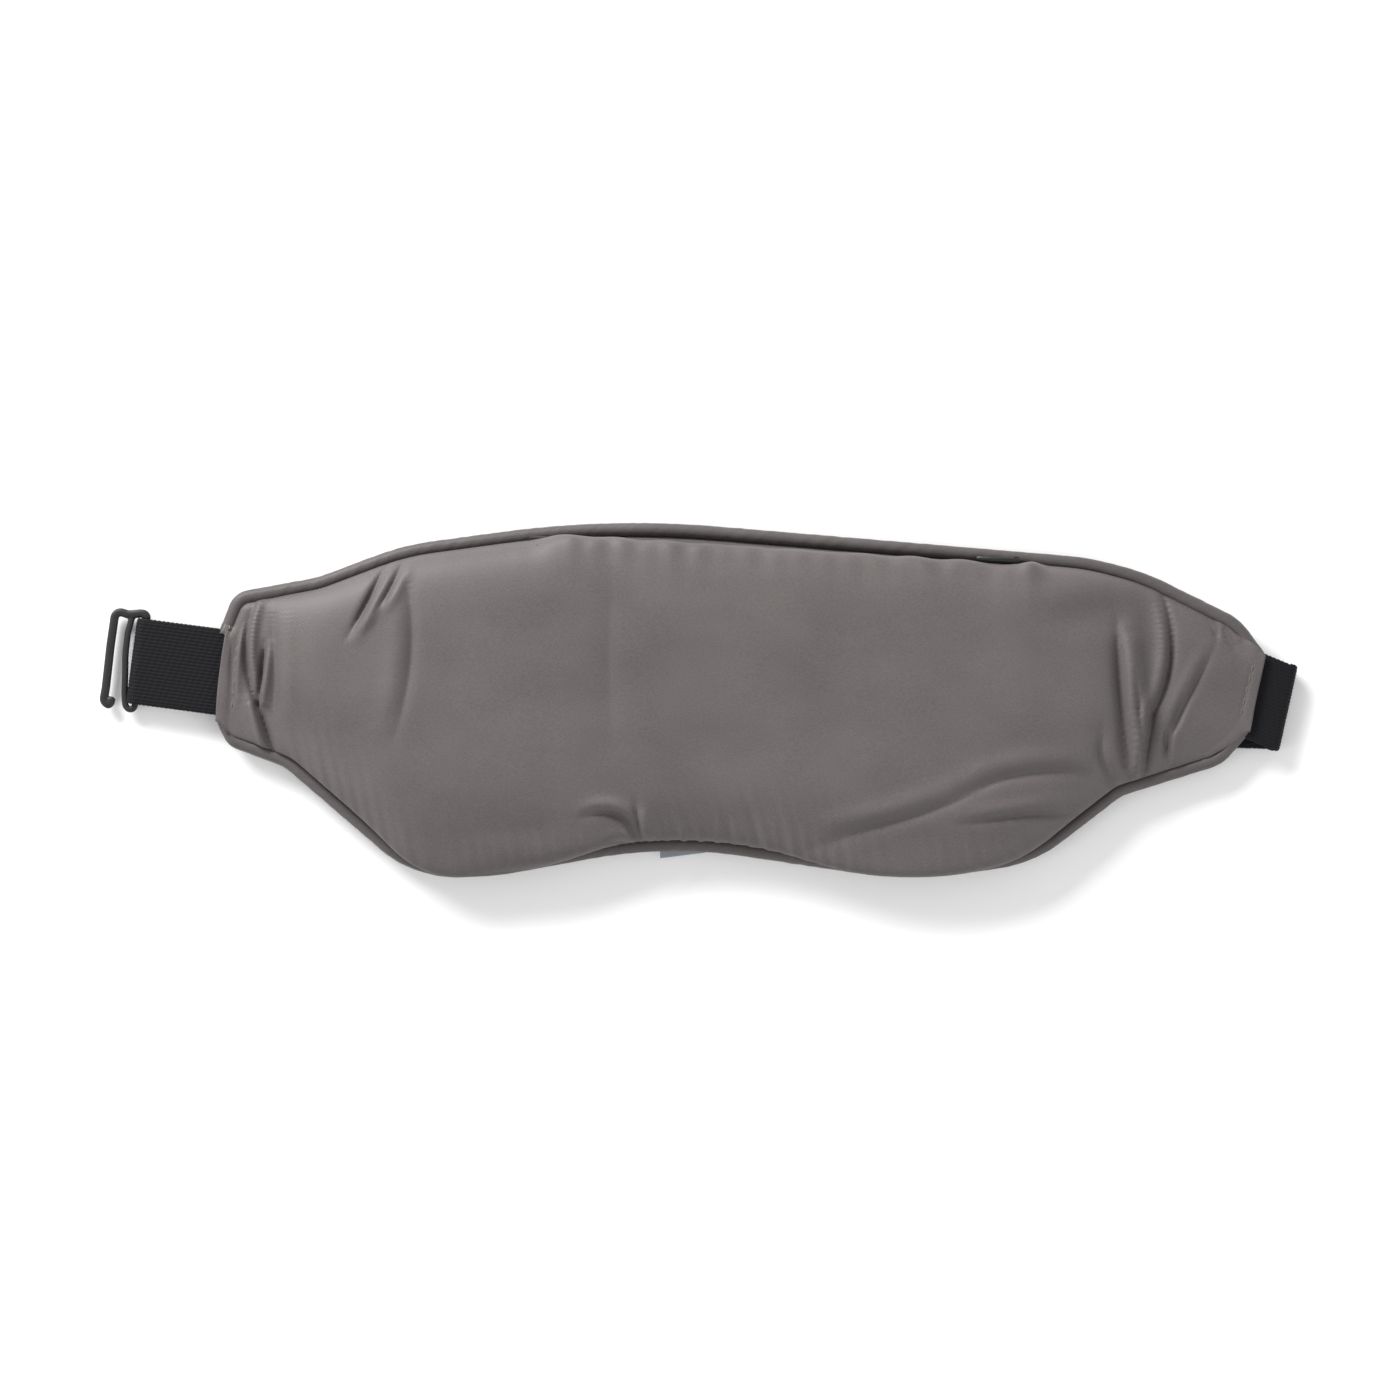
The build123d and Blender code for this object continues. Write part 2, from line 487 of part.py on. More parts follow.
# ---- cover ---------------------------------------------------------------------------------------
ELASTIC_ENDS = (stub_strap.part, strap_upper_run.part)  # sewn in between the panels
piping_space = []
for edge, points, radii in (("top", TOP_SEAM, TOP_RADII), ("bottom", BOTTOM_SEAM, BOTTOM_RADII)):
    for layer, outer, inner in (("cover", PIPING_R, CORD_R), ("cord", CORD_R, 0), ("space", PIPING_R, 0)):
        with BuildPart() as piping:
            with BuildLine(Plane.XY.offset(SEAM_Z)) as path:
                FilletPolyline(*points, radius=radii)
            with BuildSketch(Plane(origin=path.line @ 0, z_dir=path.line % 0)):
                Circle(outer)
                if inner:
                    Circle(inner, mode=Mode.SUBTRACT)
            sweep()
            if layer != "space":
                add(ELASTIC_ENDS, mode=Mode.SUBTRACT)
        if layer == "space":
            piping_space.append(piping.part)
        else:
            finish(piping.part, f"piping_{edge}_{layer}")

with BuildPart() as front_panel:
    add(front_solid(0.0))
    add(front_solid(FABRIC), mode=Mode.SUBTRACT)
    with Locations(ZIP_PLANE):
        with Locations((ZIP_LENGTH / 2, 0, 0)):
            Box(ZIP_LENGTH + SLOT_EXTRA, 3 * FABRIC, SLOT_H, mode=Mode.SUBTRACT)
    add((*ELASTIC_ENDS, *piping_space), mode=Mode.SUBTRACT)
finish(front_panel.part, "front_panel")

with BuildPart() as back_panel:
    add(back_solid(0.0))
    add(back_solid(FABRIC), mode=Mode.SUBTRACT)
    add((*ELASTIC_ENDS, *piping_space), mode=Mode.SUBTRACT)
finish(back_panel.part, "back_panel")

# ---- label and stitching -------------------------------------------------------------------------
with BuildPart() as care_label:
    with BuildSketch(Plane.XY.offset(LABEL_Z)):
        Polygon(*LABEL_CORNERS, align=None)
    extrude(amount=LABEL_T)
    add(back_solid(0.0), mode=Mode.SUBTRACT)
finish(care_label.part, "care_label")

for side, (start, end) in STITCH_LINES.items():
    run = Vector(*end) - Vector(*start)
    run_angle = degrees(atan2(run.Y, run.X))
    count = int(run.length / STITCH_PITCH)
    with BuildPart() as topstitch:
        for index in range(count):
            at = Vector(*start) + run * ((index + 0.5) / count)
            with Locations(Location((at.X, at.Y, HEM_TOP + STITCH[2] / 2), run_angle - 90)):
                Box(*STITCH)
    finish(topstitch.part, f"topstitch_{side}")
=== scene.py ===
"""Looks of the padded satin sleep mask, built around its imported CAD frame."""

import json
import math

import bpy
import numpy as np
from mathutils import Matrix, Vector
from mathutils.bvhtree import BVHTree
from mathutils.kdtree import KDTree


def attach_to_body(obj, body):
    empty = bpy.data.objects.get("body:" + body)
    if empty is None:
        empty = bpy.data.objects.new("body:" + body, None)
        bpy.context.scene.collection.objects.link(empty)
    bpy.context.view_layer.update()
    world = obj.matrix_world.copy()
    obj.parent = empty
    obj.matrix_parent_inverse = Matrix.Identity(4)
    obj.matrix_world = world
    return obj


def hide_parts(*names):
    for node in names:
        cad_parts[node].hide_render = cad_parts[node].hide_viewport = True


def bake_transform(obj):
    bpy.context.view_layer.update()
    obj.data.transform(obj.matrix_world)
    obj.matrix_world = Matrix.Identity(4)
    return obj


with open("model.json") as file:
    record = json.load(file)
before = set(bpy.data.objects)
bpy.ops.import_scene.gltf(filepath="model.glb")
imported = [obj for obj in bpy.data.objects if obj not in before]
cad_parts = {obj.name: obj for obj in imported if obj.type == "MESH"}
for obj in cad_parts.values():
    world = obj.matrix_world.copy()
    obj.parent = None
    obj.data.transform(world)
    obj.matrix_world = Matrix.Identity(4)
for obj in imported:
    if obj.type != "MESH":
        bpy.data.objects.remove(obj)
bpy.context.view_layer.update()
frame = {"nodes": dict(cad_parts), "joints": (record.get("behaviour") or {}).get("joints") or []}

MM = 0.001
FAR = 0.05  # clear of the mask, above or below, in metres
nodes = frame["nodes"]
joints = {joint["name"]: joint for joint in frame["joints"]}
rng = np.random.default_rng(7)

# ---- driving sizes, in millimetres ----------------------------------------------------------------
TOP_SEAM = [(-110.4, 15.2), (-107.2, 23.6), (-88.5, 27.0), (-68.5, 34.5), (-21.0, 40.9),
            (90.0, 31.6), (103.0, 28.2), (124.5, 17.6), (130.0, 10.0)]
TOP_RADII = [4, 25, 60, 230, 60, 50, 12]
BOTTOM_SEAM = [(-110.9, -4.8), (-108.6, -9.4), (-95.8, -14.2), (-70.0, -36.4), (-60.5, -39.9),
               (-46.5, -39.2), (-7.6, -32.1), (49.0, -40.6), (77.0, -36.5), (97.3, -20.9),
               (120.6, -13.6), (126.9, -6.4)]
BOTTOM_RADII = [3, 12, 22, 25, 60, 110, 100, 30, 10, 8]
LEFT_CORNERS = ((-109.3, 16.4), (-111.6, -4.9))  # top and bottom of the left hem's edge
RIGHT_CORNERS = ((131.3, 10.4), (127.3, -7.4))
ZIP_START, ZIP_END = np.array((-32.6, 37.7)), np.array((74.2, 30.8))
PIPING_R = 1.6
SEAM_IN = 1.15  # the panels' edges reach into the piping, this far from its middle
SEAM_Z = 4.0
LIP_Z = 7.75  # the panel's folded edge above the zip
CLOTH_T = 0.45
ELASTIC_W, ELASTIC_T = 20.0, 1.0
RIB_PITCH = 0.8
LOOP_R = 1.7  # of the stub's loop round the hook's bar
UPPER_Z, REAR_Z = 4.6, 1.45  # the long elastic's runs above and below its fold
FOLD_R = (UPPER_Z - REAR_Z) / 2
LOOP_END, LOOP_RISE, RETURN_START = 228.0, 2.0, 221.0  # the strap's far loop, from the fold
SLIDE_AT, BAR_Z, WRAP_L, WRAP_R = 165.0, 3.5, 11.0, 0.95  # the wrap round the adjuster's middle bar
LAP = 0.5  # neighbouring bands of the strap overlap by this at each end
U_TURN = 0.98  # share of a U-turn's radius that its two corners take
HOOK_R, ARM_X = 0.85, 7.4  # the hook's bars, and its arm's distance from the pin
STITCH_PITCH, STITCH_L, THREAD_R = 2.6, 1.9, 0.16
STRAP_ROOM, ADJUSTER_ROOM = 2.4, 5.4  # height under the mask for the strap and its adjuster

# padding height along the mask: (x, top of the front panel)
FRONT_HEIGHT = [(-112, 6.3), (-104, 7.2), (-97, 9.4), (-88, 11.6), (-70, 13.2), (-40, 13.6),
                (0, 12.9), (40, 13.6), (75, 13.6), (91, 12.8), (98, 11.0), (102, 9.0), (108, 8.4),
                (118, 7.4), (132, 6.3)]
# underside of the back panel
BACK_HEIGHT = [(-112, 2.6), (-104, 1.6), (-96, 0.0), (96, 0.0), (110, 1.4), (122, 3.0), (132, 3.4)]


def smoothstep(value, low, high):
    """0 up to low, 1 from high on, and a smooth rise between."""
    t = np.clip((value - low) / (high - low), 0, 1)
    return t * t * (3 - 2 * t)


def profile(x, table, soften=5.0):
    """Height at x from a short table, with its corners softened."""
    xs, zs = np.array(table, dtype=float).T
    offsets = np.linspace(-soften, soften, 9)
    weights = np.cos(offsets / soften * math.pi / 2) + 0.05
    return sum(w * np.interp(x + o, xs, zs) for w, o in zip(weights, offsets)) / weights.sum()


# ---- routes ---------------------------------------------------------------------------------------
def rounded_route(corners, radii, arc_points=14):
    """A polyline whose inner corners are rounded to the given radii."""
    points = [np.array(corners[0], float)]
    for before, corner, after, radius in zip(corners, corners[1:], corners[2:], radii):
        b, c, a = np.array(before, float), np.array(corner, float), np.array(after, float)
        to_b, to_a = (b - c) / np.linalg.norm(b - c), (a - c) / np.linalg.norm(a - c)
        half = math.acos(np.clip(to_b @ to_a, -1, 1)) / 2
        middle = (to_b + to_a) / np.linalg.norm(to_b + to_a)
        centre = c + middle * radius / math.sin(half)
        first, last = c + to_b * radius / math.tan(half), c + to_a * radius / math.tan(half)
        for t in np.linspace(0, 1, arc_points):
            ray = (first * (1 - t) + last * t) - centre
            points.append(centre + ray / np.linalg.norm(ray) * radius)
    points.append(np.array(corners[-1], float))
    return np.array(points)


def lengths_along(points):
    """Distance along a route to each of its points."""
    steps = np.linalg.norm(np.diff(points, axis=0), axis=1)
    return np.concatenate([[0], np.cumsum(steps)])


def tangents(points):
    """Unit tangents of a route."""
    tangent = np.gradient(points, axis=0)
    return tangent / np.linalg.norm(tangent, axis=1)[:, None]


def resample(points, count):
    """A route's points spread evenly along it."""
    along = lengths_along(points)
    wanted = np.linspace(0, along[-1], count)
    return np.stack([np.interp(wanted, along, points[:, k]) for k in range(points.shape[1])], axis=1)


def shifted(points, distance):
    """A plane route moved to its left by distance."""
    tangent = tangents(points)
    return points + np.stack([-tangent[:, 1], tangent[:, 0]], axis=1) * np.reshape(distance, (-1, 1))


top_piping = resample(rounded_route(TOP_SEAM, TOP_RADII), 900)
bottom_piping = resample(rounded_route(BOTTOM_SEAM, BOTTOM_RADII), 900)
zip_along = (ZIP_END - ZIP_START) / np.linalg.norm(ZIP_END - ZIP_START)
zip_out = np.array((-zip_along[1], zip_along[0]))
ZIP_LENGTH = float(np.linalg.norm(ZIP_END - ZIP_START))


def zip_share(x):
    """1 along the zip, 0 away from it."""
    start = smoothstep(x, ZIP_START[0] - 8, ZIP_START[0] + 4)
    return start * (1 - smoothstep(x, ZIP_END[0] + 1, ZIP_END[0] + 7))


def panel_edges(count):
    """Top and bottom edges of the panels, left to right, with the straight zip edge cut in."""
    over_top = smoothstep(top_piping[:, 0], 125.0, 129.0)
    top = shifted(top_piping, -SEAM_IN + 2.0 * over_top)
    top = top[(top[:, 0] > 0) & (top[:, 0] < 130.4) | (top[:, 1] > 17.2)]
    beyond = np.maximum((top - ZIP_START) @ zip_out, 0) * zip_share(top[:, 0])
    top = top - beyond[:, None] * zip_out
    over_left = np.where(bottom_piping[:, 0] < -100, smoothstep(bottom_piping[:, 1], -10.0, -5.5), 0)
    over_right = smoothstep(bottom_piping[:, 0], 120.5, 125.5)
    bottom = shifted(bottom_piping, SEAM_IN - 1.8 * (over_left + over_right))
    bottom = bottom[(bottom[:, 0] < 0) & (bottom[:, 1] < LEFT_CORNERS[1][1] - 1.0)
                    | (bottom[:, 0] > 0) & (bottom[:, 0] < RIGHT_CORNERS[1][0] - 0.6)]
    top = np.vstack([[LEFT_CORNERS[0]], top, [RIGHT_CORNERS[0]]])
    bottom = np.vstack([[LEFT_CORNERS[1]], bottom, [RIGHT_CORNERS[1]]])
    return resample(top, count), resample(bottom, count)


def panel_grid(columns, rows):
    """Plane positions of the panel's points, from the bottom edge (row 0) to the top edge."""
    top, bottom = panel_edges(columns)
    t = np.linspace(0, 1, rows)
    v = t - np.sin(2 * math.pi * t) / (2 * math.pi) * 0.86
    return bottom[None] * (1 - v[:, None, None]) + top[None] * v[:, None, None]


def distance_to(points, route):
    """Distance from each point to the route's nearest segment."""
    tree = KDTree(len(route))
    for index, (x, y) in enumerate(route):
        tree.insert((x, y, 0), index)
    tree.balance()
    flat = points.reshape(-1, 2)
    nearest = np.array([tree.find((x, y, 0))[1] for x, y in flat])
    distance = np.full(len(flat), np.inf)
    for first in (nearest - 1, nearest):
        first = np.clip(first, 0, len(route) - 2)
        along = route[first + 1] - route[first]
        away = flat - route[first]
        share = np.clip((away * along).sum(axis=1) / (along ** 2).sum(axis=1), 0, 1)
        distance = np.minimum(distance, np.linalg.norm(away - share[:, None] * along, axis=1))
    return distance.reshape(points.shape[:-1])


def crown(distance, reach, power):
    """Rises steeply from 0 at the seam to 1 at reach."""
    t = np.clip(distance / reach, 0, 1)
    return (1 - (1 - t) ** power) ** (1 / power)


# ---- folds of the front panel ---------------------------------------------------------------------
# each fold: three points, width, depth, and how much of the cloth is piled up on its left
FOLDS = [
    # sewn ends, along the stitching
    ((-106.9, 15.6), (-107.9, 6.0), (-108.9, -4.0), 0.6, 0.5, 0.3),
    ((128.3, 8.6), (126.6, 1.6), (124.9, -5.4), 0.6, 0.3, 0.3),
    # left end, where the padding starts
    ((-103.2, 24.0), (-105.0, 11.5), (-102.8, -1.0), 0.75, 2.6, 1.0),
    ((-106.0, 19.4), (-107.8, 10.5), (-108.0, 0.5), 0.6, 1.3, 0.9),
    ((-100.7, 13.0), (-101.6, 5.0), (-102.5, -2.0), 0.65, 2.2, 0.9),
    ((-102.8, 0.5), (-101.2, -5.0), (-98.6, -11.5), 0.85, 2.4, -0.9),
    ((-99.0, 22.0), (-98.5, 8.0), (-98.6, -6.0), 1.6, 0.8, 0.8),
    # upper left, creases running down from the seam
    ((-72.6, 31.5), (-76.0, 24.0), (-80.7, 15.3), 1.0, 1.7, 0.9),
    ((-75.4, 24.5), (-77.0, 20.5), (-79.2, 17.2), 0.8, 0.7, 0.8),
    ((-68.8, 31.8), (-71.2, 26.0), (-74.7, 20.5), 0.9, 1.1, 0.9),
    ((-68.1, 29.1), (-66.3, 12.0), (-69.8, -7.0), 1.7, 1.0, -0.8),
    # long soft valley near the middle
    ((-20.2, 26.5), (-21.0, 10.0), (-20.2, -9.8), 3.6, 0.5, 0.4),
    # nose
    ((-26.3, -26.6), (-18.6, -26.8), (-13.4, -33.0), 1.0, 1.6, 0.9),
    ((-14.8, -24.4), (-14.2, -28.6), (-12.4, -32.4), 0.9, 1.6, 0.8),
    ((-21.0, -31.0), (-17.0, -31.6), (-13.4, -33.4), 0.8, 0.8, 0.8),
    ((-52.5, -36.0), (-34.0, -34.6), (-14.0, -33.0), 1.3, 0.9, 0.8),
    # right, at the insert's edge
    ((96.2, 16.5), (96.9, 2.0), (98.9, -17.4), 1.6, 2.4, 1.0),
    ((100.3, 6.0), (101.2, -3.0), (102.0, -9.6), 0.8, 1.0, 0.9),
    ((107.3, 25.0), (108.8, 9.0), (103.6, -5.0), 1.0, 1.9, -0.9),
    ((105.0, -1.4), (103.7, -9.0), (102.7, -17.4), 1.0, 1.7, -0.9),
    ((118.8, 11.3), (112.4, -1.0), (107.6, -12.4), 1.1, 1.2, -0.9),
    ((107.9, -6.6), (108.2, -10.4), (108.9, -14.2), 0.8, 0.9, 0.8),
    ((118.4, 19.6), (119.5, 17.0), (119.8, 14.2), 0.8, 1.0, 0.7),
    ((121.2, 16.9), (122.6, 15.0), (123.8, 12.4), 0.8, 1.0, 0.7),
    ((112.0, 2.0), (110.0, -4.0), (107.4, -9.0), 0.9, 0.6, 0.7),
    # lower right lobe
    ((26.3, -32.0), (46.0, -27.6), (64.6, -20.6), 1.6, 1.1, 0.9),
    ((60.0, -21.6), (76.0, -16.8), (91.8, -17.2), 1.6, 1.2, 0.9),
    ((60.7, -28.6), (74.0, -26.6), (87.9, -24.8), 1.1, 1.1, 0.8),
    ((31.4, -37.0), (50.0, -38.2), (71.8, -35.0), 1.2, 0.7, 0.8),
    ((92.5, -7.0), (93.0, -14.0), (96.6, -19.4), 1.4, 1.2, 0.9),
]
# broad dips and rises: centre, radius in x and y, height
SWELLS = [
    ((89.6, 19.6), (9.5, 5.0), -2.0),
    ((99.4, 4.0), (2.6, 18.0), 0.55),
    ((-46.0, 4.0), (20.0, 22.0), 0.35),
    ((30.0, 14.0), (28.0, 14.0), 0.3),
    ((62.0, -6.0), (18.0, 14.0), 0.35),
    ((-92.0, 4.0), (7.0, 12.0), 0.4),
    ((112.5, 12.0), (4.0, 7.0), 0.5),
    ((113.0, -8.0), (4.0, 4.0), 0.4),
]


def fold_height(points, fold):
    """Height that one fold adds at plane points: a valley with a ridge beside it."""
    start, middle, end, width, depth, lean = fold
    steps = 25
    t = np.linspace(0, 1, steps + 1)[:, None]
    start, middle, end = (np.array(point) for point in (start, middle, end))
    line = (1 - t) ** 2 * start + 2 * t * (1 - t) * (2 * middle - (start + end) / 2) + t ** 2 * end
    flat = points.reshape(-1, 2)
    reach = 5.5 * width
    near = ((flat > line.min(axis=0) - reach) & (flat < line.max(axis=0) + reach)).all(axis=1)
    result = np.zeros(len(flat))
    close = flat[near]
    gaps = close[:, None] - line[None]
    best = np.linalg.norm(gaps, axis=2).argmin(axis=1)
    tangent = tangents(line)[best]
    gap = gaps[np.arange(len(close)), best]
    side = tangent[:, 0] * gap[:, 1] - tangent[:, 1] * gap[:, 0]
    beyond = np.abs((gap * tangent).sum(axis=1))
    ends = np.sin(math.pi * np.clip(best / steps, 0.03, 0.97)) ** 0.6
    ends *= np.exp(-(beyond / (1.6 * width)) ** 2)
    valley = -np.exp(-(np.abs(side) / (0.75 * width)) ** 1.35)
    beside = side - math.copysign(2.0 * width, lean)
    ridge = abs(lean) * 0.75 * np.exp(-(beside / (1.5 * width)) ** 2)
    result[near] = depth * (valley + ridge) * ends
    return result.reshape(points.shape[:-1])


def ripple(x, pitch, seed):
    """A smooth random wave with about one crest each pitch, between -1 and 1."""
    random = np.random.default_rng(seed)
    total = np.zeros_like(x)
    for _ in range(5):
        total += np.sin(2 * math.pi * x / (pitch * random.uniform(0.7, 1.6)) + random.uniform(0, 6.3))
    return total / 3.0


# ---- mesh helpers ---------------------------------------------------------------------------------
def make_object(name, vertices, faces, uvs=None):
    """A smooth mesh object from millimetres."""
    mesh = bpy.data.meshes.new(name)
    mesh.from_pydata((np.asarray(vertices) * MM).tolist(), [], faces)
    if uvs is not None:
        layer = mesh.uv_layers.new(name="UVMap")
        loops = np.empty(len(mesh.loops), dtype=int)
        mesh.loops.foreach_get("vertex_index", loops)
        layer.data.foreach_set("uv", np.asarray(uvs)[loops].astype(float).ravel())
    mesh.polygons.foreach_set("use_smooth", [True] * len(mesh.polygons))
    mesh.update()
    piece = bpy.data.objects.new(name, mesh)
    bpy.context.collection.objects.link(piece)
    return piece


def grid_faces(rows, columns, wrap_rows=False, flip=False):
    """Quads of a grid whose rows each run through all its columns."""
    faces = []
    last = rows if wrap_rows else rows - 1
    for row in range(last):
        for column in range(columns - 1):
            a, b = row * columns + column, row * columns + column + 1
            c, d = (row + 1) % rows * columns + column + 1, (row + 1) % rows * columns + column
            faces.append((a, d, c, b) if flip else (a, b, c, d))
    return faces


def tube_faces(around, length, flip=False):
    """Faces of a closed tube, whose rows run along it, with its two end caps."""
    first = [row * length for row in range(around)]
    last = [index + length - 1 for index in first]
    caps = (first[::-1], last) if flip else (first, last[::-1])
    return grid_faces(around, length, wrap_rows=True, flip=flip) + [tuple(cap) for cap in caps]


def joined(parts):
    """One mesh's vertices and faces from those of several."""
    vertices, faces, offset = [], [], 0
    for part_vertices, part_faces in parts:
        vertices.append(part_vertices)
        faces += [tuple(index + offset for index in face) for face in part_faces]
        offset += len(part_vertices)
    return np.concatenate(vertices), faces


def apply_modifiers(piece):
    """Turns a piece's modifiers into its mesh."""
    depsgraph = bpy.context.evaluated_depsgraph_get()
    mesh = bpy.data.meshes.new_from_object(piece.evaluated_get(depsgraph))
    piece.modifiers.clear()
    old = piece.data
    piece.data = mesh
    bpy.data.meshes.remove(old)


def thicken(piece, thickness):
    """Gives a sheet its thickness, away from its outer side."""
    modifier = piece.modifiers.new("thickness", "SOLIDIFY")
    modifier.thickness = thickness * MM
    modifier.offset = -1
    apply_modifiers(piece)


def dress(piece, material):
    """Gives a piece or a carried-over node its one material."""
    piece.data.materials.clear()
    piece.data.materials.append(material)


def attach(piece, body, material, replaced=()):
    """Material, slot and replaced nodes of a piece; body is None for a piece that is blended."""
    dress(piece, material)
    if body:
        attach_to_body(piece, body)
    if replaced:
        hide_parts(*replaced)


# ---- materials ------------------------------------------------------------------------------------
class Finish:
    """A node material, with short calls for the few nodes that the finishes share."""

    def __init__(self, name, colour, roughness, sheen=0.0, specular=0.5):
        self.material = bpy.data.materials.new(name)
        self.material.use_nodes = True
        self.tree = self.material.node_tree
        self.shader = self.tree.nodes["Principled BSDF"]
        self.shader.inputs["Base Color"].default_value = (*colour, 1)
        self.shader.inputs["Roughness"].default_value = roughness
        self.shader.inputs["Sheen Weight"].default_value = sheen
        self.shader.inputs["Specular IOR Level"].default_value = specular
        self.colour = colour

    def node(self, kind, **inputs):
        """A new node with its inputs set."""
        made = self.tree.nodes.new(kind)
        for key, value in inputs.items():
            made.inputs[key.replace("_", " ")].default_value = value
        return made

    def link(self, source, target):
        self.tree.links.new(source, target)

    def place(self, use_uv, scale):
        """Texture coordinates in repeats per millimetre."""
        coordinates = self.tree.nodes.new("ShaderNodeTexCoord")
        mapping = self.node("ShaderNodeMapping")
        unit = 1.0 if use_uv else 1.0 / MM
        mapping.inputs["Scale"].default_value = [value * unit for value in scale]
        self.link(coordinates.outputs["UV" if use_uv else "Object"], mapping.inputs["Vector"])
        return mapping.outputs["Vector"]

    def noise(self, place, detail=2.0, rough=0.5):
        texture = self.node("ShaderNodeTexNoise", Scale=1.0, Detail=detail, Roughness=rough)
        self.link(place, texture.inputs["Vector"])
        return texture.outputs["Fac"]

    def waves(self, place, direction, distortion=0.0):
        """Bands, one for each unit of place."""
        texture = self.node("ShaderNodeTexWave", Scale=2 * math.pi / 20, Distortion=distortion)
        texture.wave_type = "BANDS"
        texture.bands_direction = direction
        self.link(place, texture.inputs["Vector"])
        return texture.outputs["Fac"]

    def ramp(self, value, low, high, start=0.0, end=1.0):
        """Maps value onto two colours."""
        ramp = self.tree.nodes.new("ShaderNodeValToRGB")
        ramp.color_ramp.elements[0].position = start
        ramp.color_ramp.elements[1].position = end
        ramp.color_ramp.elements[0].color = (*low, 1)
        ramp.color_ramp.elements[1].color = (*high, 1)
        self.link(value, ramp.inputs["Fac"])
        return ramp.outputs["Color"]

    def tint(self, value, low, high, start=0.3, end=0.7):
        """Base colour between low and high times the finish's colour."""
        shades = [tuple(part * factor for part in self.colour) for factor in (low, high)]
        self.link(self.ramp(value, *shades, start, end), self.shader.inputs["Base Color"])

    def combine(self, operation, first, second):
        """A maths node of two sockets or numbers."""
        maths = self.tree.nodes.new("ShaderNodeMath")
        maths.operation = operation
        for socket, value in zip(maths.inputs, (first, second)):
            if isinstance(value, (int, float)):
                socket.default_value = value
            else:
                self.link(value, socket)
        return maths.outputs[0]

    def bump(self, height, depth, strength=1.0):
        """Relief of the given depth in millimetres."""
        bump = self.node("ShaderNodeBump", Strength=strength, Distance=depth * MM)
        self.link(height, bump.inputs["Height"])
        if self.shader.inputs["Normal"].links:
            self.link(self.shader.inputs["Normal"].links[0].from_socket, bump.inputs["Normal"])
        self.link(bump.outputs["Normal"], self.shader.inputs["Normal"])

    def mix(self, first, share, second):
        """The first value times its share, plus the second value times the rest."""
        return self.combine("ADD", self.combine("MULTIPLY", first, share),
                            self.combine("MULTIPLY", second, round(1 - share, 3)))

    def rough(self, value, low, high):
        """Roughness between low and high."""
        spread = self.combine("MULTIPLY_ADD", value, high - low)
        spread.node.inputs[2].default_value = low
        self.link(spread, self.shader.inputs["Roughness"])


SATIN_COLOUR = (0.1, 0.0875, 0.087)


def satin_finish(name, factor=1.0):
    """Taupe satin with a fine weave; factor makes it lighter or darker."""
    finish = Finish(name, tuple(part * factor for part in SATIN_COLOUR), 0.55, sheen=0.1, specular=0.32)
    finish.shader.inputs["Sheen Roughness"].default_value = 0.4
    threads = finish.noise(finish.place(False, (2.0, 2.8, 2.0)), detail=3.0, rough=0.62)
    weave = finish.waves(finish.place(False, (1.4, 2.6, 1.0)), "DIAGONAL", distortion=2.5)
    clouds = finish.noise(finish.place(False, (0.05, 0.07, 0.07)), detail=2.0)
    finish.tint(finish.mix(threads, 0.6, clouds), 0.8, 1.2)
    finish.rough(threads, 0.46, 0.62)
    finish.bump(weave, 0.02, 0.5)
    finish.bump(threads, 0.05, 0.5)
    return finish.material


def elastic_finish():
    """Black ribbed elastic; UVs run in millimetres along and across the band."""
    finish = Finish("elastic_black", (0.0062, 0.006, 0.0078), 0.76, sheen=0.03, specular=0.13)
    finish.shader.inputs["Sheen Roughness"].default_value = 0.55
    ribs = finish.waves(finish.place(True, (0.0, 1.0 / RIB_PITCH, 1.0)), "Y")
    stitches = finish.waves(finish.place(True, (1.35, 0.42, 1.0)), "DIAGONAL", distortion=1.5)
    fuzz = finish.noise(finish.place(True, (2.2, 2.2, 2.2)), detail=3.0)
    # the rib bands paint lighter lines on the rib crests and darker ones between them, painted highlight
    # and painted shade; the diagonal stitches are the weave's own pattern
    finish.tint(finish.mix(ribs, 0.78, stitches), 0.72, 1.3, 0.15, 0.95)
    finish.rough(fuzz, 0.58, 0.78)
    finish.bump(stitches, 0.05, 0.6)
    finish.bump(fuzz, 0.05, 0.4)
    return finish.material


def moulded_finish(name, colour, roughness=0.5):
    """Plastic or cast metal with a faint grain."""
    finish = Finish(name, colour, roughness, specular=0.45)
    grain = finish.noise(finish.place(False, (3.0, 3.0, 3.0)), detail=3.0)
    finish.tint(grain, 0.85, 1.15)
    finish.rough(grain, roughness - 0.06, roughness + 0.1)
    finish.bump(grain, 0.02, 0.5)
    return finish.material


def woven_finish(name, colour, pitch=0.5):
    """Matt woven cloth or thread, with its threads pitch apart in millimetres."""
    finish = Finish(name, colour, 0.85, sheen=0.2, specular=0.3)
    place = finish.place(False, (1.0 / pitch,) * 3)
    weave = finish.combine("MULTIPLY", finish.waves(place, "X"), finish.waves(place, "Y"))
    fibres = finish.noise(finish.place(False, (1.5, 1.5, 1.5)), detail=3.0)
    finish.tint(finish.mix(weave, 0.5, fibres), 0.85, 1.15)
    finish.bump(weave, 0.06, 0.6)
    return finish.material


def bead_finish():
    """Packed pale beads, each painted lighter in its middle and darker at its rim: painted shade between
    the beads.
    """
    finish = Finish("beads", (0.72, 0.72, 0.7), 0.35, specular=0.5)
    cells = finish.node("ShaderNodeTexVoronoi", Scale=1.0)
    finish.link(finish.place(False, (0.5, 0.5, 0.5)), cells.inputs["Vector"])
    # painted shade: each bead darker towards its rim and lighter at its middle
    finish.tint(cells.outputs["Distance"], 1.1, 0.5, 0.0, 0.8)
    finish.bump(cells.outputs["Distance"], 0.8, 0.8)
    return finish.material


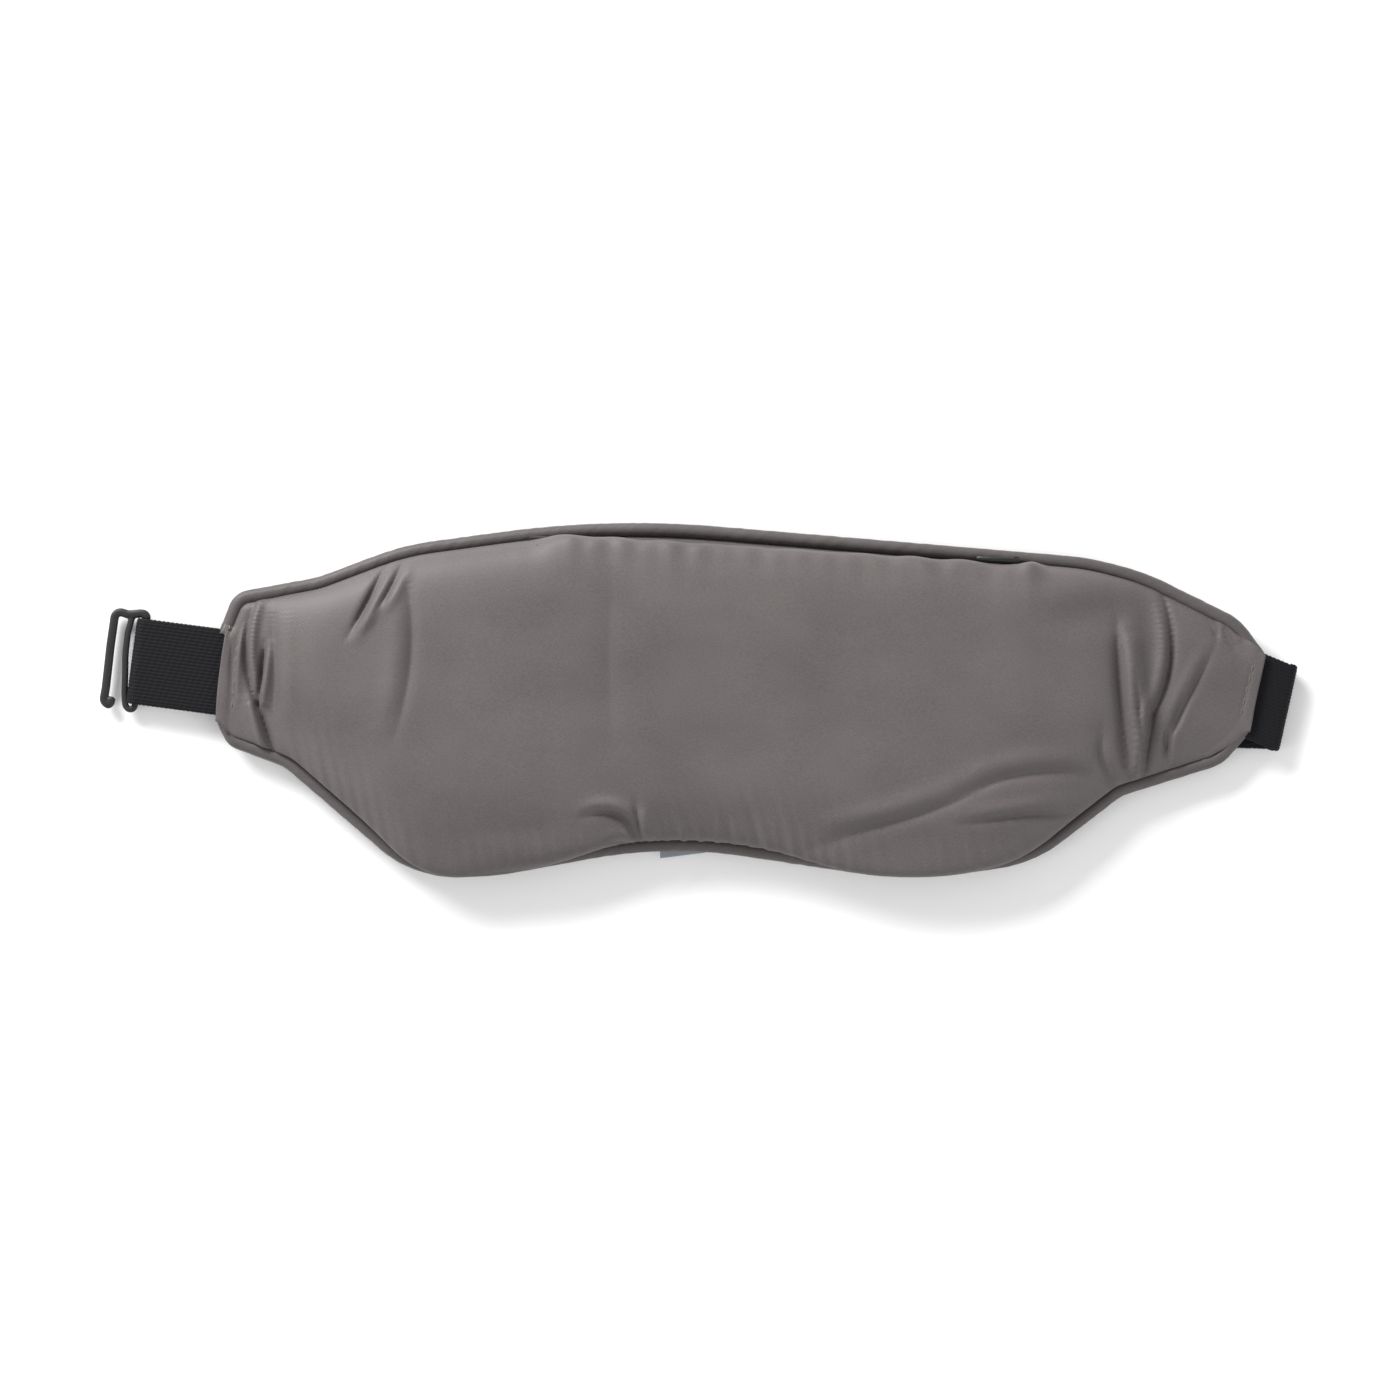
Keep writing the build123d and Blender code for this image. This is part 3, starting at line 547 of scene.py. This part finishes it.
satin = satin_finish("satin_front")
satin_back = satin_finish("satin_back", 0.97)
satin_piping = satin_finish("satin_piping", 0.82)
elastic = elastic_finish()
hook_plastic = moulded_finish("hook_plastic", (0.009, 0.009, 0.0095), 0.5)
zip_metal = moulded_finish("zip_metal", (0.02, 0.02, 0.02), 0.3)
zip_metal.node_tree.nodes["Principled BSDF"].inputs["Metallic"].default_value = 0.3
zip_nylon = moulded_finish("zip_nylon", (0.05, 0.046, 0.045), 0.45)
zip_cloth = woven_finish("zip_cloth", (0.045, 0.041, 0.04), 0.4)
cord_cloth = woven_finish("cord_cloth", (0.6, 0.58, 0.53), 0.6)
insert_cloth = woven_finish("insert_cloth", (0.55, 0.54, 0.52), 0.5)
# the care label is white; its grey colour here is painted shade, for the shadow it lies in where it peeks
# out under the bottom seam
label_cloth = woven_finish("label_cloth", (0.27, 0.29, 0.32), 0.35)
frayed_cloth = woven_finish("frayed_cloth", (0.26, 0.26, 0.235), 0.3)
black_thread = woven_finish("black_thread", (0.012, 0.012, 0.013), 0.3)
satin_thread = woven_finish("satin_thread", (0.14, 0.125, 0.12), 0.3)
beads = bead_finish()


# ---- front panel ----------------------------------------------------------------------------------
COLUMNS, ROWS = ((560, 170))
grid = panel_grid(COLUMNS, ROWS)
top_edge, bottom_edge = panel_edges(700)
to_top = distance_to(grid, top_edge)
to_bottom = distance_to(grid, bottom_edge)
grid_x, grid_y = grid[..., 0], grid[..., 1]


def front_surface():
    """Height of the front panel over the grid."""
    full = profile(grid_x, FRONT_HEIGHT)
    at_zip = zip_share(grid_x)
    top_base = SEAM_Z + (LIP_Z - SEAM_Z) * at_zip
    from_bottom = crown(to_bottom, 21.0, 2.3)
    from_top = crown(to_top, 17.0, 2.5)
    lift = from_bottom * from_top
    near_top = smoothstep(to_bottom - to_top, -10, 10)
    base = SEAM_Z + (top_base - SEAM_Z) * near_top
    over_ends = smoothstep(grid_x, 124.0, 129.0) + 1 - smoothstep(grid_x, -110.5, -107.5)
    base += 2.1 * over_ends  # the elastic lies between the panels here
    height = base + (full - base) * lift
    # how slack the cloth is: less where the padding is thin
    loose = np.clip(full - 6.0, 0, 8) / 8 * 0.8 + 0.2
    for fold in FOLDS:
        height += fold_height(grid, fold)
    for centre, radius, rise in SWELLS:
        away = ((grid_x - centre[0]) / radius[0]) ** 2 + ((grid_y - centre[1]) / radius[1]) ** 2
        height += rise * np.exp(-away)
    top_pucker = ripple(grid_x, 7.5, 3) * np.exp(-to_top / 3.0) * (1 - np.exp(-to_top / 0.8))
    top_pucker *= 0.35 + 0.65 * np.exp(-((grid_x + 18.0) / 22.0) ** 2)
    nose = np.exp(-((grid_x - 2.0) / 17.0) ** 2)
    bottom_pucker = ripple(grid_x + 0.35 * to_bottom, 4.2, 11) * np.exp(-to_bottom / 4.5)
    bottom_pucker *= 1 - np.exp(-to_bottom / 0.8)
    height += 0.45 * top_pucker * (0.4 + at_zip) * loose
    height += bottom_pucker * (0.22 + 0.95 * nose) * loose
    slow = ripple(grid_x + 0.4 * grid_y, 27.0, 5) + ripple(grid_y - 0.3 * grid_x, 22.0, 6)
    height += 0.07 * slow * lift
    over_elastic = SEAM_Z + 1.9 * crown(np.minimum(to_top, to_bottom), 2.5, 2.0)
    return np.where((grid_x < -103) | (grid_x > 117), np.maximum(height, over_elastic), height)


front_z = front_surface()
# the padding hangs over the piping below both eyes, and a little along the rest of the bottom
bulge = 1.3 + 3.0 * np.exp(-((grid_x + 48.0) / 24.0) ** 4) + 3.1 * np.exp(-((grid_x - 49.0) / 27.0) ** 4)
bulge = bulge + 0.28 * ripple(grid_x, 2.6, 31) * np.exp(-((grid_x + 2.0) / 22.0) ** 2)
outward = np.exp(-((to_bottom - 2.2) / 3.0) ** 2) * (1 - np.exp(-(to_bottom / 0.6) ** 2)) * bulge
# the lip of cloth over the zip, with a tuck at the zip's closed end
lip = np.exp(-((to_top - 1.3) / 2.2) ** 2)
lip_reach = 1.15 * zip_share(grid_x) * (0.9 + 0.22 * ripple(grid_x, 9.0, 21))
lip_reach += np.exp(-((grid_x - 76.8) / 2.4) ** 2) - 0.7 * np.exp(-((grid_x - 69.5) / 3.6) ** 2)
front_y = grid_y - outward + lip * lip_reach
hem_v = np.linspace(0, 1, ROWS)[:, None]
hem_bulge = 1.1 * np.sin(math.pi * hem_v ** 0.8) ** 0.7 * np.exp(-(grid_x - grid_x[:, :1]) / 3.0)
front_x = grid_x - hem_bulge
front_points = np.stack([front_x, front_y, front_z], axis=-1).reshape(-1, 3)
front_faces = grid_faces(ROWS, COLUMNS)
front_panel = make_object("front_panel_satin", front_points, front_faces, uvs=grid.reshape(-1, 2))
front_tree = BVHTree.FromPolygons((front_points * MM).tolist(), front_faces)
thicken(front_panel, CLOTH_T)
attach(front_panel, "mask", satin, ["front_panel"])


def on_front(x, y):
    """The front panel's height above a plane point, or the seam's beyond the panel."""
    hit = front_tree.ray_cast(Vector((x * MM, y * MM, FAR)), Vector((0, 0, -1)))[0]
    return hit.z / MM if hit else SEAM_Z


# ---- the cover's wall below the zip ---------------------------------------------------------------
wall_x = np.linspace(ZIP_START[0] - 7, ZIP_END[0] + 6.5, 220)
seam_inner = shifted(top_piping, -PIPING_R + 0.1)
seam_y = np.interp(wall_x, seam_inner[:, 0], seam_inner[:, 1])
zip_y = ZIP_START[1] + (wall_x - ZIP_START[0]) * zip_along[1] / zip_along[0]
wall = []
WALL_ROWS = 12
for t in np.linspace(0, 1, WALL_ROWS):
    roll = max(0.0, (t - 0.7) / 0.3)
    y = seam_y + (zip_y - seam_y) * min(1.0, t / 0.5) - 0.9 * roll ** 2
    z = SEAM_Z + 2.3 * math.sin(math.pi / 2 * min(1.0, t / 0.75)) - 0.35 * roll ** 2
    wall.append(np.stack([wall_x, y, np.full_like(wall_x, z)], axis=1))
zip_wall = make_object("zip_lower_wall", np.concatenate(wall),
                       grid_faces(WALL_ROWS, len(wall_x), flip=True))
thicken(zip_wall, CLOTH_T)
attach(zip_wall, "mask", satin)


# ---- back panel -----------------------------------------------------------------------------------
fold_axis = np.array(joints["strap_unfold"]["pos_m"]) / MM
crease = -np.array(joints["strap_unfold"]["axis"])
REAR = np.array(joints["adjuster_slide"]["axis"])[:2]  # from the fold along the rear run
REAR_SIDE = np.array((-REAR[1], REAR[0]))


def strap_clearance(points):
    """Least height that leaves the rear strap and its adjuster free."""
    offset = points - fold_axis[:2]
    along, across = offset @ REAR, np.abs(offset @ REAR_SIDE)
    strap = smoothstep(-across, -14.0, -10.6) * (1 - smoothstep(along, 226, 236))
    adjuster = smoothstep(-across, -16.5, -12.7) * smoothstep(along, 120, 130)
    adjuster *= 1 - smoothstep(along, 228, 237)
    return np.maximum(STRAP_ROOM * strap, ADJUSTER_ROOM * adjuster)


BACK_COLUMNS, BACK_ROWS = 260, 90
back_grid = panel_grid(BACK_COLUMNS, BACK_ROWS)
back_edge = np.minimum(distance_to(back_grid, top_edge), distance_to(back_grid, bottom_edge))
low = profile(back_grid[..., 0], BACK_HEIGHT, 3.0)
back_z = SEAM_Z - (SEAM_Z - low) * crown(back_edge, 9.0, 2.2)
cleared = np.maximum(back_z, strap_clearance(back_grid))
back_z = np.minimum(cleared, np.maximum(SEAM_Z, back_edge * 1.4))
back_points = np.concatenate([back_grid, back_z[..., None]], axis=-1).reshape(-1, 3)
back_panel = make_object("back_panel_satin", back_points,
                         grid_faces(BACK_ROWS, BACK_COLUMNS, flip=True), uvs=back_grid.reshape(-1, 2))
thicken(back_panel, CLOTH_T)
attach(back_panel, "mask", satin_back, ["back_panel"])


# ---- insert, hidden inside the cover --------------------------------------------------------------
back_tree = BVHTree.FromPolygons((back_points * MM).tolist(), grid_faces(BACK_ROWS, BACK_COLUMNS))


def inner_pad(name, left, right, inset, gap, material, replaced):
    """A closed pad between the two panels, drawn in by inset and clear of both by gap."""
    top, bottom = panel_edges(2600)
    columns, rows = int((right - left) / 1.6), 40
    across = np.linspace(left, right, columns)
    low = np.interp(across, bottom[:, 0], bottom[:, 1]) + inset
    high = np.interp(across, top[:, 0], top[:, 1]) - inset - 3.0 * zip_share(across)
    t = np.linspace(0, 1, rows)[:, None]
    y = low * (1 - t) + high * t
    x = np.broadcast_to(across, y.shape)
    edge = np.minimum(np.minimum(y - low, high - y), np.minimum(x - left, right - x))
    swell = crown(edge, 7.0, 2.2)
    sides = []
    rim = SEAM_Z + 1.6
    for tree, sign in ((front_tree, -1), (back_tree, 1)):
        start, toward = Vector((0, 0, -sign * FAR)), Vector((0, 0, sign))
        skin = np.array([tree.ray_cast(Vector((px * MM, py * MM, 0)) + start, toward)[0].z / MM
                         for px, py in zip(x.ravel(), y.ravel())]).reshape(x.shape)
        sides.append(rim + (skin + sign * gap - rim) * swell)
    vertices = np.concatenate([np.stack([x, y, z], axis=-1).reshape(-1, 3) for z in sides])
    lower = grid_faces(rows, columns, flip=True)
    faces = grid_faces(rows, columns) + [tuple(index + rows * columns for index in face) for face in lower]
    pad = make_object(name, vertices, faces)
    weld = pad.modifiers.new("weld", "WELD")
    weld.merge_threshold = 0.02 * MM
    apply_modifiers(pad)
    attach(pad, "mask", material, replaced)


inner_pad("insert_pouch", -98.0, 97.0, 6.5, 1.0, insert_cloth,
          ["insert_front_sheet", "insert_back_sheet"])
for name, left, right in (("left", -97.0, -17.0), ("middle", -15.0, 11.0), ("right", 13.0, 96.0)):
    inner_pad(f"beads_{name}", left, right, 8.0, 1.6, beads, [f"bead_fill_{name}"])


# ---- piping ---------------------------------------------------------------------------------------
def tube(name, route, radius, wrinkle, seed, around=20):
    """A closed tube along a plane route, with slanting wrinkles like a bias-cut cover."""
    tangent = tangents(route)
    side = np.stack([-tangent[:, 1], tangent[:, 0]], axis=1)
    along = lengths_along(route)
    vertices, uvs = [], []
    for index in range(around):
        angle = 2 * math.pi * index / around
        wave = ripple(along + radius * angle * 1.2, 3.2, seed) + 0.6 * ripple(along, 9.0, seed + 5)
        size = radius * (1 + wrinkle * wave)
        ring = np.concatenate([route + side * (math.cos(angle) * size)[:, None],
                               (SEAM_Z + math.sin(angle) * size)[:, None]], axis=1)
        vertices.append(ring)
        uvs.append(np.stack([along, np.full(len(along), radius * angle)], axis=1))
    return make_object(name, np.concatenate(vertices), tube_faces(around, len(route)),
                       uvs=np.concatenate(uvs))


for edge, route in (("top", top_piping), ("bottom", bottom_piping)):
    cover = tube(f"piping_{edge}_satin", resample(route, 520), PIPING_R - 0.03, wrinkle=0.022,
                 seed=len(edge))
    attach(cover, "mask", satin_piping, [f"piping_{edge}_cover"])
    dress(nodes[f"piping_{edge}_cord"], cord_cloth)


# ---- elastic --------------------------------------------------------------------------------------
def band(name, path, across, seed=0, width=ELASTIC_W):
    """A ribbed elastic band along a path of 3-D points; across is its direction of width."""
    across = np.asarray(across, float)
    normal = np.cross(tangents(path), across)
    normal /= np.linalg.norm(normal, axis=1)[:, None]
    along = lengths_along(path)
    count = 200
    t = np.linspace(-1, 1, count)
    place = t * width / 2
    half = ELASTIC_T / 2 * (1 - np.abs(t) ** 26) ** 0.5
    ribs = 0.11 * (np.abs(np.cos(math.pi * place / RIB_PITCH)) ** 0.8 - 0.75) * (1 - np.abs(t) ** 30)
    scallop = 0.09 * np.sin(2 * math.pi * along / 1.05 + seed)
    rows, uvs = [], []
    for sign, order in ((1, range(count)), (-1, range(count - 2, 0, -1))):
        for index in order:
            reach = place[index] + np.sign(place[index]) * scallop * abs(t[index]) ** 16
            height = sign * (half[index] + ribs[index] - 0.04)
            rows.append(path + across * reach[:, None] + normal * height)
            uvs.append(np.stack([along, np.full(len(along), place[index])], axis=1))
    return make_object(name, np.concatenate(rows), tube_faces(len(rows), len(path), flip=True),
                       uvs=np.concatenate(uvs))


def side_path(origin, along, corners, radii, step=0.35):
    """A path in the upright plane through origin, with its corners as (distance, height)."""
    flat = rounded_route(corners, radii, 16)
    flat = resample(flat, max(8, int(lengths_along(flat)[-1] / step)))
    plane = origin[:2] + flat[:, :1] * along
    return np.concatenate([plane, flat[:, 1:]], axis=1)


hook_pin = np.array(joints["hook_swing"]["pos_m"]) / MM
hook_bar = np.array(joints["hook_swing"]["axis"])
stub_in = np.array((-hook_bar[1], hook_bar[0]))  # from the pin into the mask
if stub_in[0] < 0:
    stub_in = -stub_in
STUB_END, STUB_FLAT = 25.5, 17.0  # where the stub ends inside the mask, and where it runs level
STUB_TOP, STUB_LOW = 4.55, 3.45  # its two layers there
stub = band("stub_elastic", side_path(hook_pin, stub_in, [
    (STUB_END, STUB_TOP), (STUB_FLAT, STUB_TOP),
    (-LOOP_R, hook_pin[2] + LOOP_R), (-LOOP_R, hook_pin[2] - LOOP_R),
    (STUB_FLAT, STUB_LOW), (STUB_END, STUB_LOW)], [20, LOOP_R * 0.94, LOOP_R * 0.9, 20]),
    hook_bar, seed=1)
attach(stub, "mask", elastic, ["stub_strap"])

crease_2d = crease[:2] / np.linalg.norm(crease[:2])
crease_out = np.array((crease_2d[1], -crease_2d[0]))
upper_dir = 2 * (REAR @ crease_2d) * crease_2d - REAR
SEWN_IN, FOLD_TAIL = 15.5, 7.0  # the fold's band reaches this far each way from the crease


def folded_path():
    """Centre line of the long elastic from inside the mask, round the fold and back under it."""
    points = []
    for distance in np.linspace(SEWN_IN, 0, 40):
        points.append(np.append(fold_axis[:2] - upper_dir * distance, UPPER_Z))
    drift = (upper_dir @ crease_2d) / (upper_dir @ crease_out)
    for angle in np.linspace(0, math.pi, 26)[1:]:
        spread = FOLD_R * math.sin(angle)
        slip = (FOLD_R * angle - FOLD_R * math.pi / 2) * drift * 0.6
        flat = fold_axis[:2] + crease_out * spread + crease_2d * slip
        points.append(np.append(flat, fold_axis[2] + FOLD_R * math.cos(angle)))
    for distance in np.linspace(0, FOLD_TAIL, 20)[1:]:
        points.append(np.append(fold_axis[:2] + REAR * distance, REAR_Z))
    return np.array(points)


fold_band = band("long_elastic_fold", folded_path(), np.append(crease_2d, 0), seed=2,
                 width=ELASTIC_W * 1.012)
attach(fold_band, None, elastic, ["strap_upper_run", "strap_fold"])
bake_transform(fold_band)

rear_across = np.append(REAR_SIDE, 0)
return_z, wrap_top, wrap_low = REAR_Z + LOOP_RISE, BAR_Z + WRAP_R, BAR_Z - WRAP_R
loop_x = LOOP_END - ELASTIC_T / 2
rear_band = band("long_elastic_rear", side_path(fold_axis, REAR, [
    (FOLD_TAIL - 2 * LAP, REAR_Z), (loop_x, REAR_Z), (loop_x, return_z), (RETURN_START - LAP, return_z)],
    [LOOP_RISE / 2 * U_TURN] * 2, step=0.5), rear_across, seed=3)
attach(rear_band, "rear_strap", elastic, ["strap_rear_run"])

wrap_end = SLIDE_AT + WRAP_L
LEAD = 6.0  # the return layer runs level this far from both its ends
return_band = band("long_elastic_return", side_path(fold_axis, REAR, [
    (RETURN_START + LAP, return_z), (RETURN_START - LEAD, return_z),
    (wrap_end + LEAD, wrap_top), (wrap_end - LAP, wrap_top)], [40, 40], step=0.5), rear_across, seed=4)
attach(return_band, None, elastic, ["strap_return"])
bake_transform(return_band)

turn_at = SLIDE_AT - 1.3 - WRAP_R  # past the middle bar
wrap_band = band("long_elastic_wrap", side_path(fold_axis, REAR, [
    (wrap_end, wrap_top), (turn_at, wrap_top), (turn_at, wrap_low), (wrap_end, wrap_low)],
    [WRAP_R * U_TURN] * 2, step=0.3), rear_across, seed=5)
attach(wrap_band, "slide_adjuster", elastic, ["strap_end_wrap"])


# ---- swan hook ------------------------------------------------------------------------------------
def round_bar(points, radii, around=20):
    """Vertices and faces of a soft-edged bar along 3-D points, with a radius at each."""
    points, radii = np.array(points, float), np.array(radii, float)
    tangent = tangents(points)
    side = np.stack([-tangent[:, 1], tangent[:, 0], np.zeros(len(points))], axis=1)
    side /= np.linalg.norm(side, axis=1)[:, None]
    rows = []
    for index in range(around):
        angle = 2 * math.pi * index / around
        across, up = math.cos(angle), math.sin(angle)
        across, up = (math.copysign(abs(part) ** 0.75, part) for part in (across, up))
        height = (radii * up * 0.9)[:, None] * np.array((0, 0, 1.0))
        rows.append(points + side * (radii * across)[:, None] + height)
    return np.concatenate(rows), tube_faces(around, len(points))


def hook_points(corners, radii, count):
    """Hook-plane route to space: local x points away from the mask, local y along the bar."""
    flat = resample(rounded_route(corners, radii, 12), count)
    away, along = -stub_in, hook_bar[:2]
    if along[1] < 0:
        along = -along
    plane = hook_pin[:2] + flat[:, :1] * away + flat[:, 1:2] * along
    return np.concatenate([plane, np.full((count, 1), hook_pin[2])], axis=1)


def tapered(count, end, radius):
    """Radii along a bar, rounded off over a share of it at both ends."""
    t = np.linspace(0, 1, count)
    return radius * np.sqrt(np.clip(1 - np.clip(1 - t / end, 0, 1) ** 2, 0.02, 1)
                            * np.clip(1 - np.clip(1 - (1 - t) / end, 0, 1) ** 2, 0.02, 1))


# each bar: its corners and their radii, its radius, its number of points and its rounded share
HOOK_BARS = [
    # round the loop's top corner, along the arm to its curled tip
    ([(0, 9.6), (0.0, 11.2), (1.6, 11.1), (3.2, 10.7), (4.4, 10.5), (ARM_X, 11.1),
      (ARM_X + 0.1, 3.0), (ARM_X - 0.1, -7.2), (ARM_X + 0.1, -10.9),
      (ARM_X - 1.6, -10.9), (ARM_X - 1.75, -8.9)],
     [1.0, 1.0, 4, 2, 1.4, 12, 18, 1.4, 0.75], HOOK_R + 0.14, 120, 0.02),
    # the pin inside the stub's loop
    ([(0, 9.8), (0, 0), (0, -9.8)], [50], HOOK_R - 0.14, 30, 0.001),
    # the bowed middle bar, back to the pin
    ([(3.3, 10.6), (3.9, 6.0), (3.8, 1.0), (3.3, -3.0), (2.75, -8.4), (2.1, -11.2),
      (0.2, -11.6), (0.0, -9.4)], [6, 30, 30, 20, 1.6, 1.0], HOOK_R - 0.1, 70, 0.001),
]
hook = make_object("swan_hook_moulded", *joined(
    round_bar(hook_points(corners, radii, count), tapered(count, end, radius))
    for corners, radii, radius, count, end in HOOK_BARS))
remesh = hook.modifiers.new("weld", "REMESH")
remesh.mode = "VOXEL"
remesh.voxel_size = 0.16 * MM
soften = hook.modifiers.new("soften", "SMOOTH")
soften.iterations = 6
apply_modifiers(hook)
hook.data.polygons.foreach_set("use_smooth", [True] * len(hook.data.polygons))
attach(hook, "swan_hook", hook_plastic, ["swan_hook"])


# ---- zip ------------------------------------------------------------------------------------------
for name, material in (("zip_tape_lower", zip_cloth), ("zip_tape_upper", zip_cloth),
                       ("zip_teeth_lower", zip_nylon), ("zip_teeth_upper", zip_nylon),
                       ("zip_bottom_stop", zip_metal), ("zip_top_stops", zip_metal),
                       ("zip_slider", zip_metal), ("slide_adjuster", hook_plastic),
                       ("wrap_bartack", black_thread)):
    dress(nodes[name], material)

PULL_Z, PULL_L, PULL_HALF_H = 7.4, 10.3, 1.5
CLOSED_AT = ZIP_LENGTH - 1.0  # where the pull's pin is along the closed zip
PIN_REACH = 1.3  # the pin's distance out from the zip's face
PULL_MIDDLE = 3.2  # the pull's rings shrink towards this


def zip_point(along, out, z):
    """A point by its distance along the zip, out of the mask, and its height."""
    flat = ZIP_START + zip_along * along + zip_out * out
    return (flat[0], flat[1], z)


def pull_mesh():
    """A teardrop pull with a raised rim and a dished face, hanging from the slider's pin."""
    outline = []
    for t in np.linspace(0, 1, 30):
        swell = math.sin(math.pi * min(1, 0.28 + 0.72 * t)) ** 0.8
        outline.append((-0.9 + PULL_L * t, PULL_HALF_H * swell + 0.12))
    outline += [(x, -h) for x, h in reversed(outline)]
    rings, faces = [], []
    for scale, out in ((0.86, -0.55), (1.0, -0.3), (1.0, 0.3), (0.9, 0.58), (0.74, 0.5), (0.55, 0.3)):
        shrink = 1 - (1 - scale) * 0.35
        rings.append([zip_point(CLOSED_AT - (PULL_MIDDLE + (x - PULL_MIDDLE) * shrink),
                                PIN_REACH + out, PULL_Z + h * scale) for x, h in outline])
    count = len(outline)
    for level in range(len(rings) - 1):
        for index in range(count):
            a, b = level * count + index, level * count + (index + 1) % count
            faces.append((a, b, b + count, a + count))
    faces.append(tuple(reversed(range(count))))
    faces.append(tuple(range((len(rings) - 1) * count, len(rings) * count)))
    return np.array(sum(rings, [])), faces


pull = make_object("zip_pull_cast", *pull_mesh())
attach(pull, "zip_pull", zip_metal, ["zip_pull"])


# ---- stitching and label --------------------------------------------------------------------------
def stitch_row(name, start, end, replaced):
    """Short thread arcs lying on the front panel, sunk a little at both ends."""
    start, end = np.array(start, float), np.array(end, float)
    run = np.linalg.norm(end - start)
    along = (end - start) / run
    threads = []
    for number in range(int(run / STITCH_PITCH)):
        middle = start + along * (number + 0.5) * STITCH_PITCH
        points, radii = [], []
        for t in np.linspace(-1, 1, 9):
            x, y = middle + along * t * STITCH_L / 2
            points.append((x, y, on_front(x, y) + 0.05 - 0.25 * t * t))
            radii.append(THREAD_R * (1 - 0.3 * t * t))
        threads.append(round_bar(points, radii))
    row = make_object(name, *joined(threads))
    attach(row, "mask", satin_thread, [replaced])


stitch_row("stitches_left", (-106.9, 15.6), (-108.9, -4.0), "topstitch_left")
stitch_row("stitches_right", (128.3, 8.6), (124.9, -5.4), "topstitch_right")

LABEL_COLUMNS, LABEL_ROWS, LABEL_T = 40, 20, 0.28
LABEL_CORNERS = np.array([(-9.3, -31.9), (-9.3, -36.9), (1.2, -35.6), (1.2, -31.9)])
u, v = np.meshgrid(np.linspace(0, 1, LABEL_COLUMNS), np.linspace(0, 1, LABEL_ROWS))
corner = LABEL_CORNERS[:, None, None, :]
label_plane = ((1 - u) * (1 - v))[..., None] * corner[0] + ((1 - u) * v)[..., None] * corner[1] \
    + (u * v)[..., None] * corner[2] + (u * (1 - v))[..., None] * corner[3]
label_z = 2.3 - 0.25 * v + 0.12 * np.sin(u * 7.0) * v
label_points = np.concatenate([label_plane, label_z[..., None]], axis=-1).reshape(-1, 3)
label = make_object("care_label_folded", label_points, grid_faces(LABEL_ROWS, LABEL_COLUMNS, flip=True),
                    uvs=label_plane.reshape(-1, 2))
thicken(label, LABEL_T)
attach(label, "mask", label_cloth, ["care_label"])


# ---- frayed end of the top piping -----------------------------------------------------------------
fray_root = np.append(top_piping[6], SEAM_Z)
fray_along = np.append(top_piping[0] - top_piping[20], 0)
fray_along /= np.linalg.norm(fray_along)
fray_side = np.array((-fray_along[1], fray_along[0], 0))
FIBRES = 90
fibres = []
for _ in range(FIBRES):
    angle, reach = rng.uniform(0, 2 * math.pi), math.sqrt(rng.uniform(0.05, 1)) * PIPING_R
    length, drift = rng.uniform(0.8, 2.1), rng.uniform(-0.5, 0.5, 2)
    root = fray_root + fray_side * math.cos(angle) * reach
    root[2] += math.sin(angle) * reach
    t = np.linspace(-0.4, 1, 6)[:, None]
    line = root + fray_along * t * length + fray_side * drift[0] * t ** 2
    line[:, 2] += drift[1] * t[:, 0] ** 2
    fibres.append(round_bar(line, np.linspace(0.09, 0.04, len(t))))
fray = make_object("piping_top_fray", *joined(fibres))
attach(fray, "mask", frayed_cloth)


# ---- floor, light and camera ----------------------------------------------------------------------
FLOOR = 6.0  # half of the floor's side, in metres
floor_mesh = bpy.data.meshes.new("floor")
floor_mesh.from_pydata([(-FLOOR, -FLOOR, 0), (FLOOR, -FLOOR, 0), (FLOOR, FLOOR, 0), (-FLOOR, FLOOR, 0)],
                       [], [(0, 1, 2, 3)])
floor = bpy.data.objects.new("floor", floor_mesh)
bpy.context.collection.objects.link(floor)
floor_finish = Finish("floor_pale", (0.94, 0.94, 0.94), 0.9, specular=0.1)
floor_mesh.materials.append(floor_finish.material)


def area_light(name, place, size, power):
    """A soft rectangular light that points at the mask's middle; metres and watts."""
    light = bpy.data.lights.new(name, "AREA")
    light.shape = "RECTANGLE"
    light.size, light.size_y = size
    light.energy = power
    lamp = bpy.data.objects.new(name, light)
    lamp.location = place
    lamp.rotation_euler = (-Vector(place)).to_track_quat("-Z", "Y").to_euler()
    bpy.context.collection.objects.link(lamp)


area_light("key", (-0.7, 1.0, 0.62), (0.8, 0.4), 30)
area_light("fill", (1.0, -0.7, 0.8), (1.0, 0.8), 7)
area_light("side", (-1.1, -0.5, 0.8), (0.8, 0.8), 5)
world = bpy.data.worlds.new("studio")
world.use_nodes = True
background = world.node_tree.nodes["Background"]
background.inputs["Color"].default_value = (1, 1, 1, 1)
background.inputs["Strength"].default_value = 0.54
bpy.context.scene.world = world
bpy.context.scene.view_settings.view_transform = "Standard"

VIEW_WIDTH = 325.6  # what the camera sees at the seam's height
LENS, SENSOR = 85.0, 36.0
camera_data = bpy.data.cameras.new("camera")
camera_data.lens, camera_data.sensor_width = LENS, SENSOR
camera_data.clip_start, camera_data.clip_end = 0.01, 20
camera = bpy.data.objects.new("camera", camera_data)
camera.location = (0, 0, (SEAM_Z + VIEW_WIDTH * LENS / SENSOR) * MM)
bpy.context.collection.objects.link(camera)
bpy.context.scene.camera = camera
